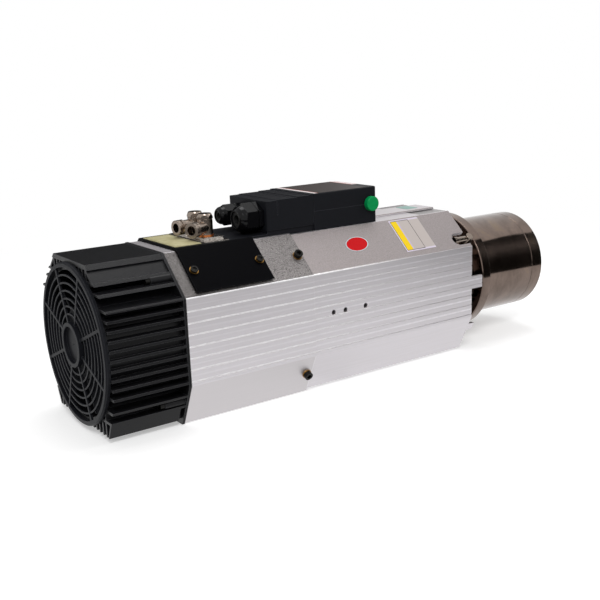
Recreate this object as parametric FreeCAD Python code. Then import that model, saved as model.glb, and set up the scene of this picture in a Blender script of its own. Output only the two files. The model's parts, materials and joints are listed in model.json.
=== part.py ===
import FreeCAD, Part
import math
import os

# Air-cooled motor spindle with a pneumatic tool clamp and a 7/24 taper nose, in millimetres.
# The model is drawn about the spindle axis: +X runs along the axis towards the tool nose and x = 0 is the
# rear end of the rear sleeve, +Z is up.  save() then moves every piece so that the origin lies on the
# mounting face, midway between the mounting bolts.
# Cutters run a millimetre or more past the faces they cut, and pieces that are fused reach about as far into
# each other.

V = FreeCAD.Vector
X_AXIS = V(1, 0, 0)
Y_AXIS = V(0, 1, 0)
Z_AXIS = V(0, 0, 1)

# ---- Driving dimensions ------------------------------------------------------------------------------------
# Body section: an eight-sided extrusion, wider at its foot than at its top
body_half_width = 70.0
body_top = 72.0
body_bottom = 72.2
side_top = 39.5            # height at which the side face meets the upper chamfer
side_bottom = 34.4         # depth at which the side face meets the lower slope
top_half_width = 35.0
foot_half_width = 51.8
sleeve_wall = 4.0
sleeve_edge_radius = 0.8
front_sleeve_inset = 1.0   # the front sleeve's faces lie this far inside the rear sleeve's
front_sleeve_foot = 70.2   # depth of the mounting face below the spindle axis
mounting_bed = 12.0        # thickness of the front sleeve's floor, which takes the mounting bolts
stem_window_depth = 8.0    # how deep the rear sleeve is opened for the air block
wire_hole_radius = 11.0    # from the terminal box into the body

# Lengths along the axis
rear_sleeve_length = 126.3
front_sleeve_length = 195.0
flange_gap = 23.5          # air outlet between the front sleeve and the flange
flange_thickness = 11.6
nose_length = 73.8
cap_length = 15.9
shaft_overhang = 4.0       # how far the tool shaft stands out of the nose cap

# Nose
flange_radius = 61.8
nose_radius = 52.1
neck_radius = 50.0         # between the motor housing and the flange
cap_joint_groove = 0.4
cap_joint_depth = 1.2
cap_joint_edge = 0.3
nose_edge_chamfer = 1.0
flange_edge_chamfer = 0.8
nose_spigot_length = 14.0
nose_rear_bore = 34.0
labyrinth_depth = 1.0
labyrinth_step = 3.5
spanner_hole_radius = 1.4
spanner_hole_depth = 6.0
spanner_hole_inset = 2.4   # from the cap's front face
spanner_hole_angle = 49.8  # degrees from the top towards the near side
nose_screw_count = 6
nose_screw_start = 30.0    # degrees from the level to the first screw
nose_screw_radius = 2.5
nose_screw_head = 4.25
nose_screw_head_height = 5.0
nose_screw_sink = 6.0      # depth of the counterbores in the cap
nose_screw_grip = 12.0     # thread in the nose housing
nose_screw_tip = 2.0       # hole past the screw's end
nose_screw_shift = 0.3     # towards the axis from the middle of the cap's wall

# Grooves along the side faces of both sleeves
groove_pitch = 10.0
groove_count = 7
groove_top_z = 28.9
groove_width = 1.1
groove_depth = 0.6

# Fan cowl
cowl_length = 68.3
cowl_flange = 2.5
cowl_flange_lip = 0.5
cowl_foot = 67.6           # depth of the cowl behind its flange
cowl_notch = 4.0           # the slope panels stop this far short of the flange
duct_wall = 2.5
duct_rim = 5.0             # from the duct to the cowl's side
rib_thickness = 2.2
rib_pitch = 7.87
side_rib_count = 10
top_panel_thickness = 3.9
shoulder_recess = 1.5      # the shoulder panel lies this far behind the chamfer line
shoulder_thickness = 2.0
shoulder_foot_z = 57.9
channel_foot_z = 50.4      # the upper screw channel lies between the shoulder and this rib
slope_rib_z = -44.0
slope_channel_z = -54.0    # the lower screw channel ends here and the slope panel begins
deck_rib_pitch = 7.0
cowl_screw_boss = 3.7
cowl_screw_length = 18.5
cowl_screw_radius = 2.0
cowl_screw_head = 3.0
cowl_screw_head_height = 4.0
cowl_screw_spare = 1.0     # tapped hole past the screw's end
sleeve_port_floor = 1.5    # solid end of the tapped bosses
sleeve_port_rim = 1.0      # how much wider than the cowl's bosses they are
upper_screw_inset = 5.2    # from the sloping faces to the cowl screws' axes, measured level
lower_screw_inset = 4.77
sleeve_port_length = 14.0  # depth of the tapped bosses that take the cowl screws

# Fan and guard
guard_thickness = 3.7
guard_overlap = 4.3        # from the duct's outside to the guard's rim
guard_ring_width = 4.3
guard_edge_chamfer = 1.2
guard_hub_radius = 19.1
guard_hub_rise = 1.7       # the hub ring stands this far behind the rim
guard_hub_rim = 3.4
guard_hub_floor = 1.0
guard_hub_hole = 0.8
guard_bar_recess = 0.8
guard_spokes = 8
guard_spoke_start = 22.5   # degrees from the top to the first spoke
guard_spoke_width = 2.4
guard_spoke_rise = 0.3     # spokes stand this far behind the rings
guard_rings = 6
guard_ring_bar = 1.5
guard_bar_depth = 1.6
fan_tip_gap = 2.0
fan_hub_radius = 30.5
fan_blades = 7
fan_blade_thickness = 1.8
fan_blade_pitch = 38.0     # degrees
fan_length = 24.0
fan_setback = 4.0          # from the guard to the impeller
fan_cup_floor = 3.0
fan_motor_radius = 26.0
fan_motor_end_gap = 2.0    # from the motor to the cup's floor, and from the impeller to the motor's flange
fan_motor_side_gap = 0.5
fan_motor_flange = 4.0
fan_struts = 4
fan_strut_width = 6.0

# Cover plate over the rear sleeve
cover_thickness = 2.5
cover_rear_x = 11.0
cover_front_x = 85.5
cover_skirt_z = 43.0
cover_window_x = 40.0      # its top is open from here to the front
cover_window_inset = 1.0   # the window stops this far from the top's edges
cover_rear_screw_inset = 6.0
cover_front_screw_inset = 5.0
rating_plate_inset = 2.0   # from the cover's rear edge
rating_plate_length = 25.0
rating_plate_width = 62.0
rating_plate_thickness = 0.5

# Air block and push-in elbows
block_length = 23.4
block_half_width = 33.5
block_step = 3.3
block_stem_half_width = 24.0
block_boss_height = 1.7
block_boss_setback = 4.0
block_window_gap = 0.3     # from the cover's window to the block
block_foot_half_width = 14.0
block_neck_depth = 4.0     # the stem keeps its full width this far below the sleeve's wall
bolt_hole_depth = 12.0
elbow_pitch = 18.0
elbow_x = 54.5
washer_thickness = 0.8
washer_rim = 0.5
banjo_height = 13.8
banjo_radius = 6.7
banjo_bolt_radius = 4.0
banjo_bolt_wall = 1.6
banjo_bore_clearance = 0.1
banjo_play = 0.2           # between the elbow and the head of its bolt
banjo_head_height = 4.5
banjo_head_flats = 12.4
banjo_head_crown = 0.4
banjo_head_bevel = 2.0
port_radius = 6.7
port_barrel_radius = 5.9
port_end_ring = 3.0
port_groove = 1.6
port_collar = 2.2
port_reach = 21.7
port_height = 6.4          # port axis above the elbow's seat
near_port_yaw = 28.0       # degrees that each port turns from straight back
far_port_yaw = 10.0
air_way_radius = 2.5
tube_radius = 4.0
tube_depth = 13.0
tube_clearance = 0.1
collet_wall = 1.4
collet_length = 5.6
collet_lip_rim = 0.5       # how much wider its lip is than its body
collet_lip = 1.0
collet_travel = 1.0
collet_end_gap = 0.4       # behind the collet once it is pushed in
collet_clearance = 0.1

# Connector: base plate, plug hood, terminal box
base_plate_rear_x = 64.0
base_plate_thin = 2.0
base_plate_thick = 4.6
base_plate_step_x = 104.5
base_plate_inset = 1.5     # from the connector's sides to the plate's
base_plate_gap = 0.2
base_plate_corner = 3.0
connector_half_width = 33.0
hood_rear_x = 104.0
hood_length = 50.5
hood_gap = 0.6
hood_lift = 0.3
hood_rear_top = 103.2
hood_wall = 2.5
hood_floor = 1.5
hood_tread_x = (11.0, 33.0, 46.6)
hood_tread_rise = (0.5, 1.1, 1.8)
hood_line_width = 1.0
hood_line_depth = 0.5
tread_groove_setback = 6.0
tread_groove_width = 1.2
tread_groove_depth = 0.4
tread_groove_inset = 4.0
box_length = 73.5
box_top = 105.0
box_split_z = 88.8
box_wall = 2.5
box_corner_radius = 2.5
box_floor = 3.0
lid_edge_radius = 1.0
lid_line_inset = 14.2      # from the front end of the lid to the line across it
lid_line_width = 0.6
lid_line_depth = 0.4
plug_half_width = 18.0
plug_height = 14.0
plug_drop = 1.0            # of the plug's axis below the middle of the box
plug_length = 22.0         # inside the hood
plug_frame_setback = 8.0
plug_frame_thickness = 4.0
plug_engagement = 12.0
plug_clearance = 0.3
socket_wall = 3.0
socket_rim = 2.0
socket_length = 28.0
socket_end_gap = 1.0
socket_foot_setback = 10.0
socket_foot_inset = 6.0
gland_z = 88.2
gland_pitch = 32.0
gland_flange = 5.0
gland_nut_gap = 0.5
gland_nut_length = 17.5
gland_dome_length = 5.6
gland_nut_chamfer = 1.0
gland_skirt_setback = 4.0
gland_dome_shape = ((0.0, 0.11), (0.12, 0.42), (0.46, 0.8), (1.0, 1.0))  # shares of its length and rise
gland_thread_start = 8.0   # from the nut's mouth to the body's thread
gland_thread_play = 0.1    # between the nut and the body
gland_neck_step = 0.8
gland_tail_length = 4.0
gland_body_lip = 0.9       # how far the body's bore is inside the nut's mouth
gland_seal_setback = 1.4
gland_seal_length = 6.2
power_gland_flats = 24.0   # M20 gland on the near side
power_gland_thread = 10.0
power_gland_mouth = 7.4
power_cable_radius = 4.0
signal_gland_flats = 17.0  # PG 7 gland on the far side
signal_gland_thread = 6.2
signal_gland_mouth = 5.2
signal_cable_radius = 2.8
port_plug_radius = 7.0
port_plug_hole = 5.5
port_plug_play = 0.08
port_plug_head = 5.0
port_plug_bevel = 0.6
port_plug_seat_gap = 0.1
port_plug_tongue = 1.0     # shank past the box's wall
port_plug_inset = 7.8      # from the front end of the box
port_plug_rise = 0.5       # above the joint of box and lid
box_post_radius = 2.9
box_post_inset = 6.6
box_screw_radius = 1.5
box_screw_head = 2.7
box_screw_head_height = 1.8
box_screw_sink = 2.5
box_screw_grip = 9.0       # thread in the box's posts
box_screw_tip = 1.0

# Fasteners of the body
sleeve_screw_inset = 5.6
upper_screw_share = 0.52   # along the chamfer from the deck, and along the slope from the side
lower_screw_share = 0.48
socket_flats = 1.1         # across a screw's socket, as a multiple of its head's radius
socket_floor = 0.45        # of the head's height that is left under the socket
screw_head_clearance = 0.2
sleeve_screw_radius = 2.5
sleeve_screw_head = 3.9
sleeve_screw_head_height = 3.6
small_screw_radius = 2.0
small_screw_head = 3.3
small_screw_head_height = 1.8
lock_washer_thickness = 0.9
small_washer_rim = 0.7
screw_grip = 10.0

# Mounting holes
mount_spacing_x = 150.0
mount_spacing_y = 84.0
mount_hole_radius = 3.4    # M8 tapping drill
side_hole_radius = 2.1     # M5 tapping drill
side_hole_x = (21.5, 34.9, 58.3)
side_hole_z = 1.6
side_hole_chamfer = 0.5

# Front edge of the front sleeve
tab_length = 14.7
tab_low_z = -5.0
tab_high_z = 7.2
lug_length = 7.6
lug_low_z = -49.5
lug_high_z = -42.5
slot_width = 14.4
slot_depth = 19.0
slot_y = 61.8
deck_notch_length = 38.0
deck_notch_inset = 1.5     # from the deck's edges to the notch
deck_pad_gap = 1.0         # round the motor housing's pad in the notch
deck_pad_drop = 0.5        # of the pad below the deck
deck_pad_overhang = 0.7    # of the pad past the front sleeve
strip_half_width = 14.5
strip_thickness = 2.0
strip_chamfer = 1.0
strip_edge = 1.2           # upright part of its edge
strip_gap = 0.5            # from the terminal box
strip_length = 90.6

# Air-purge fitting behind the flange
purge_angle = 41.0         # degrees above the level, on the near side
purge_port_inset = 5.8     # from the flange's rim to the port's axis
purge_hose_gap = 3.9       # from the motor housing to the hose barb
purge_length = 29.0
purge_barb = 3.6
purge_barb_step = 0.6
purge_barb_lip = 4.0
purge_thread_radius = 3.0
purge_thread_length = 5.0
purge_port_tip = 1.0
purge_nut_flats = 9.0
purge_nut_length = 6.0
purge_block_radius = 3.8
purge_block_setback = 4.0
purge_block_end = 4.25     # how far the block reaches past each of its axes
purge_way_radius = 1.5
purge_room = 2.5           # cut round the hose barb in the motor's fins

# Motor
cooling_gap = 1.5          # from the tips of the motor's fins to the front sleeve
bed_clearance = 1.2        # from the motor housing to the mounting bed
housing_fin_height = 6.5
housing_wall = 6.0
housing_fins = 24
housing_fin_thickness = 2.4
housing_fin_setback = 6.0
housing_fin_room = 2.0     # fins nearer than this to the mounting bed are left out
housing_overhang = 4.7     # of the motor housing past the front sleeve
stator_setback = 36.0      # of the stator core behind the motor housing's front end
stator_length = 105.0
stator_bore = 31.0
stator_slots = 24
stator_yoke = 5.5          # solid rim behind the slots
slot_lip = 1.5             # tooth tip below the slots
slot_mouth = 2.4
slot_mouth_depth = 3.0
stator_tooth = 3.6
slot_liner = 0.3
winding_overhang = 17.0
winding_gap = 1.0          # from the end turns to the core
winding_flare = 2.0
air_gap = 0.6
shaft_rotor_radius = 21.0
shaft_shoulder = 1.5
shaft_shoulder_gap = 6.0
rotor_inset = 1.0
rotor_ring_length = 6.0
rotor_ring_step = 5.0

# Bearings: bore, outer radius and width of each kind
front_bore, front_outer, front_width = 25.0, 40.0, 16.0
rear_bore, rear_outer, rear_width = 20.0, 34.0, 15.0
ring_gap = 0.3
race_share = 0.36          # of the bearing's section that each ring fills
cage_inset = 0.6
bulkhead_sink = 18.3       # of the bulkhead's rear end behind the sleeves' seam
bulkhead_hub_wall = 10.0
bulkhead_hub_lip = 3.0
bulkhead_bore_step = 3.0   # of the shoulder behind the rear bearings
bulkhead_spigot = 12.0
bulkhead_window_rim = 1.5
bulkhead_window_depth = 7.0
bulkhead_window_half_width = 11.0
bulkhead_window_angles = (0.0, 68.0, 112.0, 180.0, 248.0, 292.0)
rear_bearing_inset = 3.0   # of the rear bearings in the bulkhead
front_bearing_depth = 36.2  # from the front bearings' rear face to the nose cap

# Tool clamp
taper_large_radius = 15.875  # ISO 30 gauge diameter 31.75
taper_length = 48.0
taper_ratio = 7.0 / 24.0
knob_bore = 8.9
knob_bore_length = 3.0
jaw_chamber_radius = 12.5
jaw_chamber_length = 3.0
jaw_guide_radius = 10.3
jaw_guide_length = 10.0    # of the guide round the jaws' tails
jaw_setback = 16.1         # of the jaws behind the taper
jaw_length = 30.0
jaw_radius = 10.0
jaw_thickness = 4.2
jaw_count = 4
jaw_play = 0.3             # between the jaws and the drawbar shoulder that carries them
jaw_gap_angle = 10.0
jaw_start_angle = 45.0
jaw_edge = 0.8
jaw_tail_edge = 0.6
jaw_tail_length = 4.0
jaw_neck_clearance = 0.3
jaw_claw_length = 3.5
jaw_claw_ramp = 2.0
jaw_claw_depth = 2.0
jaw_hollow = 0.4
drawbar_radius = 7.9
drawbar_play = 0.1
drawbar_neck = 4.6
drawbar_button_start = 4.5
drawbar_button_length = 4.5
drawbar_button_rise = 1.0
drawbar_collar_length = 14.0
drawbar_guide_length = 12.0
drawbar_tail = 6.0         # of the drawbar past the shaft's rear end
spring_bore_radius = 16.2
spring_outer = 15.7
spring_inner = 8.3
spring_setback = 26.0      # of the disc springs behind the jaws
spring_stack_length = 144.0
spring_pitch = 12.0
spring_core = 2.5
spring_end_gap = 0.2
spring_edge = 0.8
shaft_tail = 15.0          # of the shaft past the rear bearings
shaft_lip_radius = 29.9
shaft_edge_chamfer = 1.0
cap_bore = 30.5
lock_nut_width = 11.0
lock_nut_gap = 0.5
front_nut_wall = 7.5
rear_nut_wall = 9.0
nut_slot_width = 5.0
nut_slot_depth = 2.5
nut_slots = 4
key_width = 15.9
key_length = 8.0
key_sink = 4.0             # of the keys in the shaft's face
key_height = 9.0

# Clamp cylinder
cylinder_gap = 12.0        # room for the cooling air between the rear sleeve and the cylinder
cylinder_skirt = 7.0       # wall around the piston
cylinder_wall_setback = 28.0  # of the cylinder's front wall behind the bulkhead
cylinder_bore_length = 52.0  # of the bore that the piston runs in
cylinder_wall = 8.0
cylinder_cover_thickness = 8.0
cylinder_cover_spigot = 5.0
cylinder_cover_rim = 8.0   # of the cover's spigot round its recess
cylinder_spigot = 1.0      # of the skirt in the bulkhead
piston_room = 14.0         # behind the piston while the tool is clamped
piston_thickness = 18.0
piston_clearance = 0.05
piston_rod_radius = 11.9
piston_rod_gap = 1.0       # from the piston rod to the drawbar while the tool is clamped
piston_rod_clearance = 0.05
seal_section = 1.8
seal_clearance = 0.1
seal_gap = 0.02
cylinder_pad_depth = 2.0   # flat seat of the air block on the cylinder
cylinder_pad_rim = 3.0     # of the seat round the block
cylinder_pad_half_width = 30.0
sensor_radius = 4.0
sensor_setback = 10.0      # of the switches behind the bulkhead
sensor_nut_gap = 2.5       # from the switch's face to the rear lock nut
sensor_stub = 4.5          # of the switch outside the cylinder
sensor_head_rim = 1.5
sensor_head_height = 3.0
sensor_angles = (55.0, -55.0, 125.0)

# ---- Places worked out from the driving dimensions ---------------------------------------------------------
seam_x = rear_sleeve_length
sleeve_front_x = seam_x + front_sleeve_length
flange_x = sleeve_front_x + flange_gap
nose_x = flange_x + flange_thickness
cap_x = nose_x + nose_length
cap_end_x = cap_x + cap_length
shaft_face_x = cap_end_x + shaft_overhang
housing_end_x = sleeve_front_x + housing_overhang
stator_end_x = housing_end_x - stator_setback
stator_start_x = stator_end_x - stator_length
front_bearing_x = cap_x - front_bearing_depth
taper_x = shaft_face_x - taper_length
jaw_front_x = taper_x - jaw_setback
jaw_rear_x = jaw_front_x - jaw_length
spring_front_x = jaw_rear_x - spring_setback
spring_rear_x = spring_front_x - spring_stack_length
bulkhead_start_x = seam_x - bulkhead_sink
rear_bearing_x = bulkhead_start_x + rear_bearing_inset
shaft_rear_x = rear_bearing_x - shaft_tail
drawbar_rear_x = shaft_rear_x - drawbar_tail
cylinder_front_wall_x = bulkhead_start_x - cylinder_wall_setback
cylinder_start_x = cylinder_front_wall_x - cylinder_bore_length
piston_start_x = cylinder_start_x + piston_room
sensor_x = bulkhead_start_x - sensor_setback
axis_height = front_sleeve_foot
datum_x = seam_x + front_sleeve_length / 2.0
front_top = body_top - front_sleeve_inset
duct_bore = body_half_width - duct_rim - duct_wall
fan_tip_radius = duct_bore - fan_tip_gap
fin_radius = min(body_half_width - front_sleeve_inset, front_top) - sleeve_wall - cooling_gap
housing_radius = min(fin_radius - housing_fin_height, front_sleeve_foot - mounting_bed - bed_clearance)
housing_bore = housing_radius - housing_wall
notch_start_x = sleeve_front_x - deck_notch_length
notch_half_width = top_half_width - deck_notch_inset
slot_start_radius = stator_bore + slot_lip
slot_end_radius = housing_bore - stator_yoke
cylinder_radius = body_half_width - sleeve_wall - cylinder_gap
cylinder_bore = cylinder_radius - cylinder_skirt
cylinder_pad_z = cylinder_radius - cylinder_pad_depth
purge_port_radius = flange_radius - purge_port_inset
purge_hose_radius = housing_radius + purge_barb + purge_hose_gap
box_x = hood_rear_x + hood_length + hood_gap
box_end_x = box_x + box_length
block_x = cover_window_x + block_window_gap
block_top = body_top + block_step + block_boss_height
elbow_seat_z = block_top + washer_thickness
port_z = elbow_seat_z + port_height
base_top = body_top + base_plate_thick
hood_z = base_top + hood_lift
gland_nut_x = hood_rear_x - gland_flange - gland_nut_gap - gland_nut_length
plug_z = (hood_z + box_top) / 2.0 - plug_drop
port_plug_shank = port_plug_hole - port_plug_play
collet_radius = tube_radius + tube_clearance + collet_wall
fan_x = fan_setback - cowl_length
fan_end_x = fan_x + fan_length
bearing_end_x = front_bearing_x + 2 * front_width
rear_bearing_end_x = rear_bearing_x + 2 * rear_width
key_x = shaft_face_x - key_sink
cowl_screw_seat_x = -cowl_screw_length - cowl_flange
nose_screw_seat_x = cap_end_x - nose_screw_sink


# ---- Shape helpers -----------------------------------------------------------------------------------------
def box(x0, x1, y0, y1, z0, z1):
    return Part.makeBox(x1 - x0, y1 - y0, z1 - z0, V(x0, y0, z0))


def rod(x0, x1, radius, y=0.0, z=0.0):
    return Part.makeCylinder(radius, x1 - x0, V(x0, y, z), X_AXIS)


def ring(x0, x1, outer, inner):
    return rod(x0, x1, outer).cut(rod(x0 - 1, x1 + 1, inner))


def pin(start, direction, radius, length):
    return Part.makeCylinder(radius, length, start, direction)


def polygon_face(points):
    return Part.Face(Part.makePolygon(points + [points[0]]))


def prism(section, x0, x1):
    """Extrude a closed (y, z) section from x0 to x1."""
    return polygon_face([V(x0, y, z) for y, z in section]).extrude(V(x1 - x0, 0, 0))


def turned(profile):
    """Revolve a closed (x, radius) profile about the spindle axis."""
    return polygon_face([V(x, 0, r) for x, r in profile]).revolve(V(0, 0, 0), X_AXIS, 360)


def hexagon(start, direction, flats, height, point_up=Z_AXIS):
    """Six-sided bar: one corner lies along point_up."""
    side = direction.cross(point_up)
    side.normalize()
    up = side.cross(direction)
    up.normalize()
    corner = flats / math.sqrt(3.0)
    points = []
    for i in range(6):
        a = math.radians(60 * i)
        points.append(start + up * (corner * math.cos(a)) + side * (corner * math.sin(a)))
    return polygon_face(points).extrude(direction * height)


def offset_section(corners, inset):
    """Move every edge of a convex (y, z) section inwards by inset."""
    lines = []
    count = len(corners)
    for i in range(count):
        (y0, z0), (y1, z1) = corners[i], corners[(i + 1) % count]
        length = math.hypot(y1 - y0, z1 - z0)
        normal = ((z1 - z0) / length, -(y1 - y0) / length)
        lines.append((normal[0], normal[1], normal[0] * y0 + normal[1] * z0 - inset))
    moved = []
    for i in range(count):
        a1, b1, c1 = lines[i - 1]
        a2, b2, c2 = lines[i]
        det = a1 * b2 - a2 * b1
        moved.append(((c1 * b2 - c2 * b1) / det, (a1 * c2 - a2 * c1) / det))
    return moved


def body_section(inset=0.0, foot=body_bottom):
    """The body's eight corners, anticlockwise seen from the nose; foot is its depth before the inset."""
    spread = (body_half_width - foot_half_width) / (body_bottom - side_bottom)
    right = [
        (body_half_width - (foot - side_bottom) * spread, -foot),
        (body_half_width, -side_bottom),
        (body_half_width, side_top),
        (top_half_width, body_top),
    ]
    left = [(-y, z) for y, z in reversed(right)]
    return offset_section(right + left, inset)


def body_bar(inset, x0, x1, foot=body_bottom):
    return prism(body_section(inset, foot), x0, x1)


def round_long_edges(bar, radius):
    """Round the edges of a bar that run along the spindle axis."""
    long_edges = []
    for edge in bar.Edges:
        run = edge.Vertexes[-1].Point - edge.Vertexes[0].Point
        if abs(run.x) > 0.99 * run.Length:
            long_edges.append(edge)
    return bar.makeFillet(radius, long_edges)


def mirrored(shape):
    """The same piece on the other side of the spindle."""
    return shape.mirror(V(0, 0, 0), Y_AXIS)


def both_sides(shape):
    return [shape, mirrored(shape)]


def spun(shape, count, start=0.0):
    """Copies of a piece evenly spaced about the spindle axis."""
    step = 360.0 / count
    copies = []
    for i in range(count):
        copy = shape.copy()
        copy.rotate(V(0, 0, 0), X_AXIS, start + i * step)
        copies.append(copy)
    return copies


def fused(shapes):
    return shapes[0].multiFuse(shapes[1:]).removeSplitter()


def group(shapes):
    return Part.makeCompound(shapes)


def save(name, shape):
    shape = shape.copy()
    shape.translate(V(-datum_x, 0, axis_height))
    shape.exportStep("parts/" + name + ".step")


# ---- Places on the sloping faces ---------------------------------------------------------------------------
def half_width_at(z):
    """Half the rear sleeve's width at a height on its upper chamfers or lower slopes."""
    if z > 0:
        share = (z - side_top) / (body_top - side_top)
        return body_half_width - share * (body_half_width - top_half_width)
    share = (-side_bottom - z) / (body_bottom - side_bottom)
    return body_half_width - share * (body_half_width - foot_half_width)


def chamfer_normal(side=-1):
    rise = body_top - side_top
    run = body_half_width - top_half_width
    length = math.hypot(rise, run)
    return V(0, side * rise / length, run / length)


def chamfer_point(x, share=0.5, side=-1, inset=0.0):
    """A point on the upper chamfer, share of the way from its top edge to its bottom edge."""
    y = top_half_width + share * (body_half_width - top_half_width)
    z = body_top - share * (body_top - side_top)
    return V(x, side * y, z) - chamfer_normal(side) * inset


def slope_normal(side=-1):
    rise = body_bottom - side_bottom
    run = body_half_width - foot_half_width
    length = math.hypot(rise, run)
    return V(0, side * rise / length, -run / length)


def slope_point(x, share=0.5, side=-1, inset=0.0):
    """A point on the lower slope, share of the way from its top edge to its bottom edge."""
    y = body_half_width - share * (body_half_width - foot_half_width)
    z = -side_bottom - share * (body_bottom - side_bottom)
    return V(x, side * y, z) - slope_normal(side) * inset


def cap_screw(seat, out, radius, head, head_height, grip, point_up=X_AXIS):
    """Socket-head screw: its head stands on the seat and its shank goes in by grip."""
    shank = pin(seat - out * grip, out, radius, grip)
    top = pin(seat, out, head, head_height)
    socket = hexagon(seat + out * (head_height * socket_floor), out, head * socket_flats, head_height, point_up)
    return fused([shank, top]).cut(socket)


def washer(seat, out, outer, inner, thickness):
    return pin(seat, out, outer, thickness).cut(pin(seat - out, out, inner, thickness + 2))


# ---- Fasteners of the sleeves and the cover ----------------------------------------------------------------
def sleeve_screw_places():
    """Seat and direction of the screws that hold the rear sleeve, near its front end."""
    x = seam_x - sleeve_screw_inset
    places = []
    for side in (-1, 1):
        places.append((chamfer_point(x, upper_screw_share, side), chamfer_normal(side)))
        places.append((slope_point(x, lower_screw_share, side), slope_normal(side)))
    return places


def cover_screw_places():
    """Seat and direction of the screws that hold the cover plate to the chamfers."""
    places = []
    for side in (-1, 1):
        for x in (cover_rear_x + cover_rear_screw_inset, cover_front_x - cover_front_screw_inset):
            seat = chamfer_point(x, 0.5, side, -cover_thickness)
            places.append((seat, chamfer_normal(side)))
    return places


def sleeve_screws():
    screws = []
    grip = screw_grip + lock_washer_thickness
    for place, out in sleeve_screw_places():
        seat = place + out * lock_washer_thickness
        screw = cap_screw(seat, out, sleeve_screw_radius, sleeve_screw_head, sleeve_screw_head_height, grip)
        screws.append(screw)
    return group(screws)


def cover_screws():
    screws = []
    grip = cover_thickness + sleeve_wall + lock_washer_thickness
    for place, out in cover_screw_places():
        seat = place + out * lock_washer_thickness
        screw = cap_screw(seat, out, small_screw_radius, small_screw_head, small_screw_head_height, grip)
        screws.append(screw)
    return group(screws)


def screw_washers():
    rings = []
    for seat, out in sleeve_screw_places():
        outer = sleeve_screw_head + washer_rim
        rings.append(washer(seat, out, outer, sleeve_screw_radius, lock_washer_thickness))
    for seat, out in cover_screw_places():
        outer = small_screw_head + small_washer_rim
        rings.append(washer(seat, out, outer, small_screw_radius, lock_washer_thickness))
    return group(rings)


def holes_at(places, radius, depth):
    return [pin(seat - out * depth, out, radius, depth + 1) for seat, out in places]


# ---- Sleeves -----------------------------------------------------------------------------------------------
def side_grooves(inset, x0, x1):
    cuts = []
    face = body_half_width - inset
    for i in range(groove_count):
        z = groove_top_z - i * groove_pitch
        slot = box(x0, x1, face - groove_depth, face + 1, z - groove_width / 2, z + groove_width / 2)
        cuts += both_sides(slot)
    return cuts


def cowl_screw_centres():
    """Axes (y, z) of the cowl screws, which run along the spindle in the corners of the sleeve."""
    upper_z = (shoulder_foot_z + channel_foot_z) / 2.0
    lower_z = (slope_rib_z + slope_channel_z) / 2.0
    upper_y = half_width_at(upper_z) - upper_screw_inset
    lower_y = half_width_at(lower_z) - lower_screw_inset
    return [(-upper_y, upper_z), (upper_y, upper_z), (-lower_y, lower_z), (lower_y, lower_z)]


def rear_sleeve():
    shell = round_long_edges(body_bar(0, 0, seam_x), sleeve_edge_radius)
    shell = shell.cut(body_bar(sleeve_wall, -1, seam_x + 1))
    envelope = body_bar(0, 0, seam_x)
    ports = []
    for y, z in cowl_screw_centres():
        port = rod(0, sleeve_port_length, cowl_screw_boss + sleeve_port_rim, y, z)
        ports.append(port.common(envelope))
    shell = fused([shell] + ports)
    cuts = side_grooves(0, -1, seam_x + 1)
    for y, z in cowl_screw_centres():
        cuts.append(rod(-1, sleeve_port_length - sleeve_port_floor, cowl_screw_radius, y, z))
    half = block_stem_half_width
    cuts.append(box(block_x, block_x + block_length, -half, half, body_top - stem_window_depth, body_top + 1))
    cuts += holes_at(sleeve_screw_places(), sleeve_screw_radius, screw_grip)
    cuts += holes_at(cover_screw_places(), small_screw_radius, cover_thickness + sleeve_wall)
    return shell.cut(cuts)


def front_cavity(x0, x1):
    cavity = body_bar(front_sleeve_inset + sleeve_wall, x0, x1)
    floor = mounting_bed - front_sleeve_foot
    return cavity.common(box(x0, x1, -body_half_width, body_half_width, floor, body_top))


def front_edge_trim():
    """What is cut off the front edge so that only the side tabs and the lower lugs reach further."""
    tab_x = sleeve_front_x + tab_length
    lug_x = sleeve_front_x + lug_length
    reach = body_half_width + 5
    trim = box(sleeve_front_x, tab_x + 1, -reach, reach, -reach, reach)
    tabs = box(sleeve_front_x - 1, tab_x, -reach, reach, tab_low_z, tab_high_z)
    lugs = box(sleeve_front_x - 1, lug_x, -reach, reach, lug_low_z, lug_high_z)
    return trim.cut([tabs, lugs])


def chamfer_slot(side):
    """U-shaped slot, open to the front, in the upper chamfer."""
    out = chamfer_normal(side)
    share = (slot_y - top_half_width) / (body_half_width - top_half_width)
    centre = chamfer_point(sleeve_front_x - slot_depth + slot_width / 2, share, side, sleeve_wall + 4)
    depth = sleeve_wall + 8
    end = pin(centre, out, slot_width / 2, depth)
    across = X_AXIS.cross(out)
    corner = centre - across * (slot_width / 2)
    length = slot_depth + 1
    points = [
        corner,
        corner + X_AXIS * length,
        corner + X_AXIS * length + across * slot_width,
        corner + across * slot_width,
    ]
    return end.fuse(polygon_face(points).extrude(out * depth))


def mounting_holes():
    holes = []
    for sx in (-0.5, 0.5):
        for sy in (-0.5, 0.5):
            start = V(datum_x + sx * mount_spacing_x, sy * mount_spacing_y, -front_sleeve_foot - 1)
            holes.append(pin(start, Z_AXIS, mount_hole_radius, mounting_bed + 3))
    return holes


def accessory_holes():
    face = body_half_width - front_sleeve_inset
    wide = side_hole_radius + side_hole_chamfer
    holes = []
    for x in side_hole_x:
        start = V(seam_x + x, -face, side_hole_z)
        holes.append(pin(start - Y_AXIS, Y_AXIS, side_hole_radius, sleeve_wall + 3))
        holes.append(Part.makeCone(wide, side_hole_radius, side_hole_chamfer, start, Y_AXIS))
    return holes


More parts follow.
